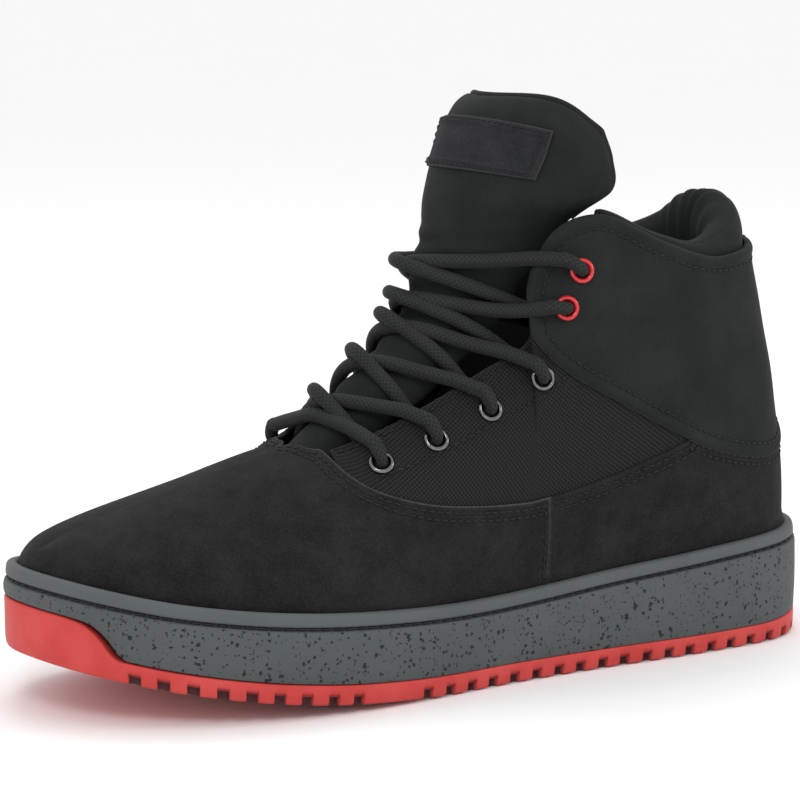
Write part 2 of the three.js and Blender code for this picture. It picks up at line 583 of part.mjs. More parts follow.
// ---------------------------------------------------------------- eyelets and lace
// Toe to top: position of the nearest point of the eyestay edge, and extra inset from it.
const EYELET_ROWS = [[11, 0], [10.1, 0], [9.25, 0], [8.32, 0], [7.45, -0.5], [6.35, 2.5]];
const SEAT_EASE = 0.9;              // rise that the rolled flange takes up
const SEAM_CLEARANCE = 0.5;         // from an eyelet's flange to the toe suede
function seamDistance(side, p) {
  let near = 1e9;
  for (let U = 10; U <= 13; U += 0.05) near = Math.min(near, Math.hypot(...sub(surface(side, U, seamV(side, U)), p)));
  return near;
}
function eyeletCentre(side, U, deep) {
  const E = surface(side, U, 1), along = unit(sub(surface(side, U + 0.1, 1), surface(side, U - 0.1, 1)));
  // walk into the panel at a right angle to its edge
  let u = U, v = 0.985, N = E;
  for (let i = 0; i < 400 && Math.hypot(...sub(N, E)) < deep; i++) {
    v -= 0.0015;
    N = surface(side, u, v);
    const off = dot(sub(N, E), along), pace = Math.hypot(...sub(surface(side, u + 0.05, v), surface(side, u - 0.05, v))) / 0.1;
    u -= (off / pace) * 0.5;
    N = surface(side, u, v);
  }
  return { E, N, u, v };
}
// How far the panel rises out of the eyelet's plane under its flange.
function seatRise(side, u, v, N, n, thick) {
  const paceU = Math.hypot(...sub(surface(side, u + 0.05, v), surface(side, u - 0.05, v))) / 0.1;
  const paceV = Math.hypot(...sub(surface(side, u, v + 0.01), surface(side, u, v - 0.01))) / 0.02;
  let rise = 0;
  for (let i = 0; i < 12; i++) {
    const a = (i * Math.PI) / 6, du = (EYELET_FLANGE * Math.cos(a)) / paceU, dv = (EYELET_FLANGE * Math.sin(a)) / paceV;
    const V = Math.min(1, v + dv), face = add(surface(side, u + du, V), mul(surfaceNormal(side, u + du, V), thick));
    rise = Math.max(rise, dot(sub(face, N), n) - thick);
  }
  return rise;
}
function eyelet(side, k) {
  const lower = k < 4;
  // the medial row sits further forward along the same edge
  const shift = side > 0 ? (lower ? 0.33 : 0.2) * (MEDIAL_FORWARD / 7) : 0;
  const deep = EYELET_INSET + EYELET_ROWS[k][1];
  let U = EYELET_ROWS[k][0] + shift, at = eyeletCentre(side, U, deep);
  while (k === 0 && seamDistance(side, at.N) < EYELET_FLANGE + SEAM_CLEARANCE) {
    U -= 0.02;
    at = eyeletCentre(side, U, deep);
  }
  const { E, N, u, v } = at;
  const n = surfaceNormal(side, u, v);
  const t = unit(sub(E, N)), b = unit(cross(n, t));
  const thick = lower ? QUARTER_THICKNESS : ANKLE_THICKNESS;
  const base = thick + Math.max(0, seatRise(side, u, v, N, n, thick) - SEAT_EASE);
  const nE = surfaceNormal(side, U, 0.99);
  // a point part of the way from the eyelet (0) to the edge (1), at an offset from the panel
  const near = (f, d) => add(mix(N, E, f), mul(unit(mix(n, nE, f)), d + (d > 0 ? 3.2 : 0.4) * f * (1 - f)));
  return { side, k, N, n, t: unit(cross(b, n)), b, E, base, near, nE };
}
const EYELETS = [-1, 1].map((side) => EYELET_ROWS.map((_, k) => eyelet(side, k)));

function eyeletTools(side, ks) {
  return ks.map((k) => {
    const { N, n, t, base } = EYELETS[side < 0 ? 0 : 1][k];
    // the barrel's hole, and a flat seat where the panel rises into the flange
    const barrel = wasm.Manifold.cylinder(16, EYELET_BARREL + 0.12, EYELET_BARREL + 0.12, 16, true);
    const seat = wasm.Manifold.cylinder(8, EYELET_FLANGE + 0.2, EYELET_FLANGE + 0.2, 16);
    const hole = barrel.add(seat.translate([0, 0, base + 0.48]));
    return placed(hole, N, t, cross(n, t), n);
  });
}
function makeEyelet(e) {
  const top = e.base + 0.5, b = EYELET_BORE, o = EYELET_BARREL, f = EYELET_FLANGE;
  const outline2 = [[b, -0.5], [b, top + 0.7], [f - 0.6, top + 0.9], [f, top], [o, top], [o, -0.5]];
  const g = new THREE.LatheGeometry([...outline2, outline2[0]].map(([r, z]) => new THREE.Vector2(r, z)), 12);
  const y = e.n, x = e.t, z = cross(x, y);
  g.applyMatrix4(new THREE.Matrix4().makeBasis(new THREE.Vector3(...x), new THREE.Vector3(...y),
    new THREE.Vector3(...z)).setPosition(...e.N));
  const p = g.getAttribute('position'), idx = g.getIndex(), verts = [], tris = [], keys = new Map(), ids = [];
  for (let i = 0; i < p.count; i++) {
    const v = [p.getX(i), p.getY(i), p.getZ(i)], key = v.map((c) => Math.round(c * 1e3)).join();
    if (!keys.has(key)) { keys.set(key, verts.length); verts.push(v); }
    ids.push(keys.get(key));
  }
  for (let i = 0; i < idx.count; i += 3) {
    const t = [0, 1, 2].map((k) => ids[idx.getX(i + k)]);
    if (t[0] !== t[1] && t[1] !== t[2] && t[0] !== t[2]) tris.push(t);
  }
  return solid(verts, fixWinding(verts, tris));
}

// Height of the lace over the tongue at a point between two eyestay edges.
function overTongue(p, extra) {
  let best = 0, near = 1e9;
  const across = (a) => clamp(Math.asin(clamp(p[1] / tongueRow(a)[2], -0.98, 0.98)) / WRAP, -1, 1);
  for (let a = 1.5; a <= 10; a += 0.05) {
    const off = Math.hypot(...sub(tonguePoint(a, across(a)), p));
    if (off < near) { near = off; best = a; }
  }
  const q = across(best);
  return add(tonguePoint(best, q), mul(tongueNormal(best, q), LACE_RADIUS + LACE_CLEARANCE + extra));
}
// Points with radii: from outside an eyelet, through it, and back under the edge.
function throughEyelet(e) {
  const { N, n, t, base, near } = e, r = LACE_RADIUS, top = base + 1.5;
  const thin = LACE_RADIUS_IN_EYELET, proud = e.k === 4 ? 1.8 : e.k === 3 ? 0.4 : 0;  // this pair bends round the collar's corner
  return [
    [add(near(1, base + r + 1.7 + proud), mul(t, 2.4)), r],
    [near(0.72, base + r + 1.3 + proud), r],
    [near(0.4, top + r + 1.2 + proud * 0.4), r],
    [add(add(N, mul(n, top + 2.3)), mul(t, 1.6)), r * 0.92],
    [add(N, mul(n, top + 0.5)), thin],
    [add(N, mul(n, base * 0.4)), thin],
    [add(N, mul(n, -1.2)), thin],
    [add(add(N, mul(n, -r - LACE_CLEARANCE - 0.5)), mul(t, e.k === 3 ? 0.2 : 1.3)), e.k === 3 ? thin : r * 0.92],
    [near(0.4, -r - LACE_CLEARANCE - (e.k === 3 ? 2.1 : 1.4)), r],
    [near(0.75, -r - LACE_CLEARANCE - (e.k === 3 ? 1.6 : 1)), r],
    [add(near(1, -r - LACE_CLEARANCE - 0.8), mul(t, 2)), r],
  ];
}
function crossing(from, to, lifted) {
  const a = add(from.E, mul(from.nE, -LACE_RADIUS)), b = add(to.E, mul(to.nE, LACE_RADIUS));
  return [0.13, 0.22, 0.33, 0.44, 0.56, 0.67, 0.78].map((f) => {
    const p = mix(a, b, f), hump = lifted ? smooth(1 - (Math.abs(p[1]) - 4) / 15) : 0;
    return [overTongue(p, hump * (2 * LACE_RADIUS + 0.5)), LACE_RADIUS];
  });
}
function laceHalf(startSide) {
  const path = [];
  let side = startSide;
  for (let k = 0; k < 6; k++) {
    const e = EYELETS[side < 0 ? 0 : 1][k];
    path.push(...throughEyelet(e));
    if (k < 5) {
      const next = EYELETS[side < 0 ? 1 : 0][k + 1];
      path.push(...crossing(e, next, startSide < 0 ? k % 2 === 0 : k % 2 === 1));
      side = -side;
    }
  }
  return { path, side };
}
// The loose end is tucked down between the ankle panel and the tongue.
function tuckedEnd(side) {
  const drop = (U, z, d) => onUpper(side, U, atHeight(side, U, raise(50, z)), -d);
  return [drop(5.75, 145, 4.4), drop(5.4, 140, 4.0), drop(5.3, 134, 3.9), drop(5.3, 127, 3.9), drop(5.3, 121, 3.9)];
}
function smoothPath(points, per) {
  const n = points.length, out = [];
  const at = (i) => [...points[clamp(i, 0, n - 1)][0], points[clamp(i, 0, n - 1)][1]];
  for (let i = 0; i + 1 < n; i++) {
    const len = Math.hypot(...sub(points[i + 1][0], points[i][0]));
    const m = Math.max(1, Math.round(len / per));
    for (let j = 0; j < m; j++) out.push(blend4(at(i - 1), at(i), at(i + 1), at(i + 2), j / m));
  }
  out.push(at(n - 1));
  return out.map((p) => [p.slice(0, 3), p[3]]);
}
function tube(points, sides) {
  let frame = null;
  const list = points.map(([p, r], i) => {
    const a = points[Math.max(0, i - 1)][0], b = points[Math.min(points.length - 1, i + 1)][0];
    const t = unit(sub(b, a));
    const ref = frame ?? (Math.abs(t[2]) < 0.8 ? [0, 0, 1] : [1, 0, 0]);
    const x = unit(sub(ref, mul(t, dot(ref, t)))), y = cross(t, x);
    frame = x;
    return steps(0, 2 * Math.PI, sides).slice(0, sides)
      .map((w) => add(p, add(mul(x, r * Math.cos(w)), mul(y, r * Math.sin(w)))));
  });
  return rings(list, false);
}
function makeLaceAndTips() {
  const a = laceHalf(-1), b = laceHalf(1);
  const bar = [0.22, 0.36, 0.5, 0.64, 0.78].map((f) => {
    const from = EYELETS[1][0], to = EYELETS[0][0];
    const p = mix(add(from.E, mul(from.nE, 2)), add(to.E, mul(to.nE, 2)), f);
    return [overTongue(p, 0.2), LACE_RADIUS];
  });
  const tailA = tuckedEnd(a.side), tailB = tuckedEnd(b.side), r = LACE_RADIUS;
  const first = a.path.slice(0, -1), second = b.path.slice(0, -1);
  const points = [...tailB.map((p) => [p, r]).reverse(), ...second.reverse(), ...bar, ...first,
    ...tailA.map((p) => [p, r])];
  piece('lace', tube(smoothPath(points, 13), 8), CORD);
  for (const [name, tail] of [['aglet_medial', tailA], ['aglet_lateral', tailB]]) {
    const end = tail[tail.length - 1], dir = unit(sub(end, tail[tail.length - 2]));
    const from = add(end, mul(dir, 0.3));
    piece(name, tube([[from, 1.7], [add(from, mul(dir, 1)), 1.9], [add(from, mul(dir, 13)), 1.8],
      [add(from, mul(dir, 14)), 1.4]], 10), TIP);
  }
}

// ---------------------------------------------------------------- assembly
piece('outsole', makeOutsole(), RED_RUBBER);
piece('cupsole', makeCupsole(), GREY_RUBBER);
makeSoleFill();
piece('vamp', makeVamp(), SUEDE);
piece('heel_panel', makeHeelPanel(), SUEDE);
piece('toe_puff', makeToePuff(), BOARD);
piece('heel_counter', makeHeelCounter(), BOARD);
for (const [side, word] of [[-1, 'lateral'], [1, 'medial']]) {
  piece(`quarter_${word}`, cut(makeQuarter(side), eyeletTools(side, [0, 1, 2, 3])), CANVAS);
  piece(`ankle_panel_${word}`, cut(makeAnklePanel(side), eyeletTools(side, [4, 5])), TEXTILE);
}
piece('heel_stay', makeHeelStay(), TEXTILE);
piece('lining', makeLining(), LINING);
piece('collar_padding', makeCollarPadding(), TEXTILE);
piece('tongue_base', makeTongue(0, HINGE_ROW - 0.06, 15, false), TEXTILE);
piece('tongue_top', makeTongue(HINGE_ROW + 0.06, TONGUE.length - 1, 8, true), TEXTILE);
piece('tongue_label', makeTongueLabel(), PATCH);
for (const [row, word] of [[0, 'lateral'], [1, 'medial']]) {
  EYELETS[row].forEach((e, k) => piece(`eyelet_${word}_${k + 1}`, makeEyelet(e), k < 4 ? GUNMETAL : RED_METAL));
}
makeLaceAndTips();

export default group;
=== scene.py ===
"""Left basketball high top sneaker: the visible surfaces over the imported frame.

Metres in Blender, millimetres in the shape formulas. +X is the heel, -X the toe,
-Y the lateral side and +Z is up. Each class is one sub-assembly of the shoe.
"""
from __future__ import annotations

import json
import logging
import math
from dataclasses import dataclass, field
from enum import Enum
from typing import Any, Callable, Sequence

import bpy
import numpy as np
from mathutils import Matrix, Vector

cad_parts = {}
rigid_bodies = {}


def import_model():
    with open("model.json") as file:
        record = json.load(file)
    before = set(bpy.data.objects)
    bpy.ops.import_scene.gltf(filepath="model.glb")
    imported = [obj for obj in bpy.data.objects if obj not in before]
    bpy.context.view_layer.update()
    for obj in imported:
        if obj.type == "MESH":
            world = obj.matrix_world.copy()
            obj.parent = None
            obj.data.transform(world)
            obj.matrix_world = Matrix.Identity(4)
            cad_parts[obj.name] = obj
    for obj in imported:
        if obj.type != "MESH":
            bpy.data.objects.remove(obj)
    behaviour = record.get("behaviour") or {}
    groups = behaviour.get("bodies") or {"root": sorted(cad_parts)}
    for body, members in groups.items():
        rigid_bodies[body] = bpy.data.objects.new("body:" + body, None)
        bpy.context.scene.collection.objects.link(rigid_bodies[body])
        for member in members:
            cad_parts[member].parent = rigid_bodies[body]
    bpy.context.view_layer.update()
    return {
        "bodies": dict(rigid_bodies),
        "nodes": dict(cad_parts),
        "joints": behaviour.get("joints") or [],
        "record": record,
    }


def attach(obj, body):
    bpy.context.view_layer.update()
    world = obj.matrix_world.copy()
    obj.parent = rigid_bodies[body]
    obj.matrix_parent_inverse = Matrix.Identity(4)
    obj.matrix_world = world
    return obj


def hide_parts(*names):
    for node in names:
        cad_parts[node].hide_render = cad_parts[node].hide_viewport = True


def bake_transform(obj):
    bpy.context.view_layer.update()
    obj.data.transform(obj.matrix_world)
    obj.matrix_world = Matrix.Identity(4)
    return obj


Array = np.ndarray
MM = 0.001
LOG = logging.getLogger("sneaker")
NS, THROAT = 17, 13                  # last row of the upper, and where both sides meet
WRAP = math.radians(82)


class Body(Enum):
    """The moving bodies of the frame."""

    SHOE = "shoe"
    FLAP = "tongue_flap"


# ------------------------------------------------------------------ number helpers
def smooth(x: Array | float) -> Array:
    """A ramp from 0 to 1 with flat ends, 3t^2 - 2t^3."""
    t = np.clip(x, 0, 1)
    return t * t * (3 - 2 * t)


def unit(v: Array) -> Array:
    """Vectors along the last axis scaled to length 1."""
    return v / np.maximum(np.linalg.norm(v, axis=-1, keepdims=True), 1e-12)


def catmull(table: Array, t: Array) -> Array:
    """Catmull-Rom curve through the rows of a table.

    Args:
        table: One row per knot, with a spare row before and after.
        t: Positions, where 1 is the second row.
    Returns:
        The blended rows, with the shape of t and the row's own length.
    """
    t = np.asarray(t, float)
    i = np.clip(np.floor(t).astype(int), 1, len(table) - 3)
    f = (t - i)[..., None]
    a, b, c, d = table[i - 1], table[i], table[i + 1], table[i + 2]
    return 0.5 * (2 * b + (c - a) * f + (2 * a - 5 * b + 4 * c - d) * f * f
                  + (3 * b - a - 3 * c + d) * f ** 3)


@dataclass(frozen=True)
class Profile:
    """A smooth curve through pairs, cubic Hermite with centred slopes, flat past the ends."""

    pairs: tuple[tuple[float, float], ...]

    def __call__(self, x: Array | float) -> Array:
        """The curve's value at x."""
        k = np.array(self.pairs, float)
        n = len(k) - 1
        lo, hi = np.maximum(np.arange(n + 1) - 1, 0), np.minimum(np.arange(n + 1) + 1, n)
        slope = (k[hi, 1] - k[lo, 1]) / (k[hi, 0] - k[lo, 0])
        x = np.clip(np.asarray(x, float), k[0, 0], k[-1, 0])
        i = np.clip(np.searchsorted(k[:, 0], x, side="left") - 1, 0, n - 1)
        h = k[i + 1, 0] - k[i, 0]
        t = (x - k[i, 0]) / h
        return (k[i, 1] * (1 + 2 * t) * (1 - t) ** 2 + k[i + 1, 1] * t * t * (3 - 2 * t)
                + h * (slope[i] * t * (1 - t) ** 2 - slope[i + 1] * t * t * (1 - t)))


def nearest(points: Array, cloud: Array) -> tuple[Array, Array]:
    """Index of, and distance to, the nearest cloud point for each point.

    Args:
        points: N points.
        cloud: M points.
    Returns:
        Indices and distances, both of length N.
    """
    index = np.empty(len(points), int)
    for start in range(0, len(points), 2000):
        block = points[start:start + 2000]
        d2 = (block ** 2).sum(1)[:, None] - 2 * block @ cloud.T + (cloud ** 2).sum(1)[None]
        index[start:start + 2000] = d2.argmin(1)
    return index, np.linalg.norm(points - cloud[index], axis=1)


def ripple(p: Array, size: float, seed: float = 0.0) -> Array:
    """A soft uneven field of -1 to 1: a sum of sines of points over a size, never repeating."""
    q = p / size
    x, y, z = q[..., 0], q[..., 1], q[..., 2]
    return (np.sin(1.7 * x + 2.3 * z + seed) + np.sin(2.9 * y - 1.3 * x + 1.9 * seed)
            + np.sin(3.7 * z + 1.1 * y - 0.7 * x + 2.7 * seed)) / 3


# ------------------------------------------------------------------ the shoe's shape
@dataclass
class SoleShape:
    """Outline and heights of the sole. The outline position runs 0 heel, 11 toe, 22 heel."""

    lateral: tuple = ((151, 2), (147, -20), (130, -36), (95, -41.5), (50, -43), (10, -46),
                      (-30, -52.5), (-62, -55.5), (-92, -52), (-120, -41), (-141, -22), (-150, 3))
    medial: tuple = ((147, 23), (130, 36), (95, 39), (50, 37.5), (10, 39), (-30, 47),
                     (-62, 53.6), (-92, 54.8), (-120, 48), (-141, 29))
    toe_spring: float = 20.0
    rim: Profile = Profile(((-150, 48), (-110, 39.5), (-60, 33.5), (0, 30.5), (60, 34.5), (151, 41)))
    band_height: Profile = Profile(((-150, 17), (-139, 16.5), (-134.5, 13), (-131.5, 8.5), (-129, 7),
                                    (-60, 7), (0, 7), (120, 7), (140, 8.5), (151, 10.5)))

    def __post_init__(self) -> None:
        """Builds the closed loop of knots, with the spare rows the curve needs."""
        loop = np.array(list(self.lateral) + list(self.medial)[::-1], float)
        self.count = len(loop)
        self.knots = np.vstack([loop[-1:], loop, loop[:3]])

    def outline(self, s: Array) -> Array:
        """Points of the outline at positions s."""
        return catmull(self.knots, np.mod(s, self.count) + 1)

    def outward(self, s: Array) -> Array:
        """Outward normals of the outline, a quarter turn from its direction."""
        d = self.outline(np.asarray(s) + 0.02) - self.outline(np.asarray(s) - 0.02)
        return unit(np.stack([-d[..., 1], d[..., 0]], -1))

    def inset(self, s: Array, d: Array | float) -> Array:
        """Outline points moved inward by d."""
        return self.outline(s) - self.outward(s) * np.asarray(d)[..., None]

    def bottom(self, x: Array) -> Array:
        """Height of the tread: flat at the rear, a parabola towards the toe."""
        return np.where(np.asarray(x) < 0, self.toe_spring * (np.asarray(x) / 150) ** 2, 0.0)

    def band(self, x: Array) -> Array:
        """Top of the red rubber band."""
        return self.bottom(x) + self.band_height(x)

    def columns(self, step: float) -> Array:
        """Outline positions about one step apart, once round the sole."""
        s = np.linspace(0, self.count, 4001)
        walked = np.r_[0, np.cumsum(np.linalg.norm(np.diff(self.outline(s), axis=0), axis=1))]
        return np.interp(np.linspace(0, walked[-1], int(walked[-1] / step) + 1)[:-1], walked, s)


STATIONS = np.array([
    [0.0, 0, 34, 130.5, 0, 143, 4, 0, -36], [1.0, 1.5, 33, 126, -14, 143, 4, -3, -34],
    [2.0, 6, 31, 116, -26, 140.5, 3, -6, -32], [2.85, 8, 30, 97, -33, 139.5, 0, -6, -30],
    [3.42, 8, 32, 76, -35, 146, -2, -5, -34], [3.9, 8, 33, 52, -33, 156, -3, -6, -38],
    [4.3, 8, 31, 36, -28, 150, -3, -9, -38], [4.62, 8, 28, 27, -27, 132, -3, -11, -34],
    [4.95, 9, 26, 27, -27.5, 114, -3, -12, -26], [5.4, 9, 24, 9, -26.5, 104, -3, -13, -20],
    [5.9, 9, 22, -14, -25, 92.5, -3, -14, -14], [6.4, 9, 20, -33, -22, 84, -3, -15, -10],
    [6.9, 9, 18, -46, -15, 79, -3, -17, -6], [7.4, 9, 18, -54, 0, 78, -4, -20, 0],
    [8.1, 8, 17, -82, 1, 70, -2, -20, 0], [8.9, 7, 16, -109, 2, 62.3, -2, -16, 0],
    [9.9, 4, 12, -129, 3, 55.5, -2, -10, 0], [11.0, 1.5, 8, -138, 3, 51, -3, 0, 0]])


@dataclass
class UpperShape:
    """The outer surface of the upper: one upright cubic curve per position U, heel 0 to toe 17.

    A station row is the outline position, bulge out, bulge height, top point and the offset
    of the control point below the top point.
    """

    sole: SoleShape
    inset: float = 7.2
    fold: tuple[float, float] = (6.7, 8.2)
    seam_height: Profile = Profile(((3.5, 77.5), (4, 73.5), (4.5, 70), (5, 66.8), (6, 63), (7, 61.5),
                                    (8, 61), (9, 61.5), (10, 63.5), (11, 68), (11.6, 73), (12, 79)))
    ankle_height: Profile = Profile(((0, 80), (1, 75), (2, 67), (3, 71), (4, 81.5), (5, 94), (6, 104),
                                     (7, 115), (7.5, 122)))

    def __post_init__(self) -> None:
        """Builds the station table of each side, mirrored past the heel and the toe."""
        self.tables = {}
        for side in (-1, 1):
            body = STATIONS.copy()
            body[:THROAT, 4] *= -side
            body[:, 7] *= -side
            before, after = STATIONS[1].copy(), STATIONS[NS - 1].copy()
            before[0], before[4], before[7] = -before[0], before[4] * side, before[7] * side
            after[0], after[7] = 22 - after[0], after[7] * side
            self.tables[side] = np.vstack([before, body, after, after])

    def surface(self, side: int, u: Array, v: Array) -> Array:
        """Points of the surface: a cubic Bezier from the rim, v 0, to the top line, v 1.

        Args:
            side: -1 lateral or 1 medial.
            u: Positions along the shoe.
            v: Positions up the side.
        Returns:
            Points in millimetres, with the broadcast shape of u and v.
        """
        u, v = np.broadcast_arrays(np.asarray(u, float), np.asarray(v, float))
        r = catmull(self.tables[side], u + 1)
        other = catmull(self.tables[-side], u + 1)[..., 4]
        top_y = np.where(u >= THROAT, (r[..., 4] + other) / 2, r[..., 4])
        s = -side * r[..., 0]
        n, p = self.sole.outward(s), self.sole.inset(s, self.inset + 5.2 * r[..., 1] / r[..., 2])
        foot = np.stack([p[..., 0], p[..., 1], self.sole.rim(self.sole.outline(s)[..., 0]) - 5.6], -1)
        bulge = foot + np.stack([n[..., 0] * r[..., 1], n[..., 1] * r[..., 1], r[..., 2]], -1)
        top = np.stack([r[..., 3], top_y, r[..., 5]], -1)
        v, w = v[..., None], 1 - v[..., None]
        return (w ** 3 * foot + 3 * w * w * v * bulge + 3 * w * v * v * (top + r[..., 6:9])
                + v ** 3 * top)

    def _plain_normal(self, side: int, u: Array, v: Array) -> Array:
        """Outward normals from differences of the surface, read a little off the toe's pole."""
        a = np.minimum(u, NS - 0.3 * v)
        b, e = np.where(u > 15, np.minimum(v, 0.95), v), 0.02
        du = (self.surface(side, np.minimum(NS, a + e), b) - self.surface(side, np.maximum(0, a - e), b))
        dv = (self.surface(side, a, np.minimum(1, b + e)) - self.surface(side, a, np.maximum(0, b - e)))
        return unit(np.cross(du, dv) * side)

    def normal(self, side: int, u: Array, v: Array) -> Array:
        """Outward normals, blended across the stretch where the top edge runs down the column."""
        u, v = np.broadcast_arrays(np.asarray(u, float), np.asarray(v, float))
        lo, hi = self.fold
        k = ((np.clip(u, lo, hi) - lo) / (hi - lo))[..., None]
        across = unit(self._plain_normal(side, np.full_like(u, lo), v) * (1 - k)
                      + self._plain_normal(side, np.full_like(u, hi), v) * k)
        inside = ((u > lo) & (u < hi))[..., None]
        return np.where(inside, across, self._plain_normal(side, u, v))

    def at_height(self, side: int, u: Array, z: Array) -> Array:
        """Position up the side where the surface reaches height z, by halving."""
        u, z = np.broadcast_arrays(np.asarray(u, float), np.asarray(z, float))
        lo, hi = np.zeros_like(u), np.ones_like(u)
        for _ in range(26):
            m = (lo + hi) / 2
            low = self.surface(side, u, m)[..., 2] < z
            lo, hi = np.where(low, m, lo), np.where(low, hi, m)
        return (lo + hi) / 2

    def seam_v(self, side: int, u: Array) -> Array:
        """Top of the suede, where the canvas starts."""
        return np.where(u >= 12, 1.0, self.at_height(side, u, self.seam_height(u)))

    def ankle_v(self, side: int, u: Array) -> Array:
        """Lower edge of the ankle panel."""
        return np.where(u >= 7.5, 1.0, self.at_height(side, u, self.ankle_height(u)))


TONGUE = np.array([
    [-67, 72.5, 11, 1.5, 1.2], [-60.5, 74.4, 12, 1.8, 1.2], [-54, 76.05, 12, 3.5, 1.4],
    [-42, 85.8, 14.5, 13, 4], [-29, 98, 17.5, 16, 6], [-17, 108.5, 19, 19, 7],
    [-8.5, 117.5, 19.5, 21, 7.5], [-3.5, 127, 19.5, 30, 8], [-1, 138, 20, 40, 9],
    [2, 150, 23, 50, 9.5], [4.5, 161, 33.8, 61.5, 11], [9, 173, 38.5, 54, 12.5],
    [16, 186, 39.5, 40, 12], [24.5, 198, 36.5, 31, 9]], float)


@dataclass
class TongueShape:
    """Centre line of the tongue as rows of x, z, half width, wrap depth and thickness."""

    def __post_init__(self) -> None:
        """Adds the spare end rows."""
        t = TONGUE
        self.table = np.vstack([2 * t[0] - t[1], t, 2 * t[-1] - t[-2], 2 * t[-1] - t[-2]])

    def row(self, a: Array) -> Array:
        """The row at position a."""
        return catmull(self.table, np.asarray(a, float) + 1)

    def point(self, a: Array, q: Array) -> Array:
        """Front face: an arc of half width w and depth d about the centre line, q from -1 to 1."""
        a, q = np.broadcast_arrays(np.asarray(a, float), np.asarray(q, float))
        r, r0, r1 = self.row(a), self.row(a - 0.05), self.row(a + 0.05)
        t = unit(np.stack([r1[..., 0] - r0[..., 0], 0 * a, r1[..., 1] - r0[..., 1]], -1))
        up = unit(np.stack([-t[..., 2], 0 * a, t[..., 0] * (1 - smooth((a - 6.5) / 3))], -1))
        angle = q * WRAP
        base = np.stack([r[..., 0], r[..., 2] * np.sin(angle), r[..., 1]], -1)
        return base - up * (r[..., 3] * (1 - np.cos(angle)))[..., None]

    def normal(self, a: Array, q: Array) -> Array:
        """Outward normals of the front face."""
        e = 0.03
        return unit(np.cross(self.point(np.asarray(a) + e, q) - self.point(np.asarray(a) - e, q),
                             self.point(a, np.asarray(q) + e) - self.point(a, np.asarray(q) - e)))


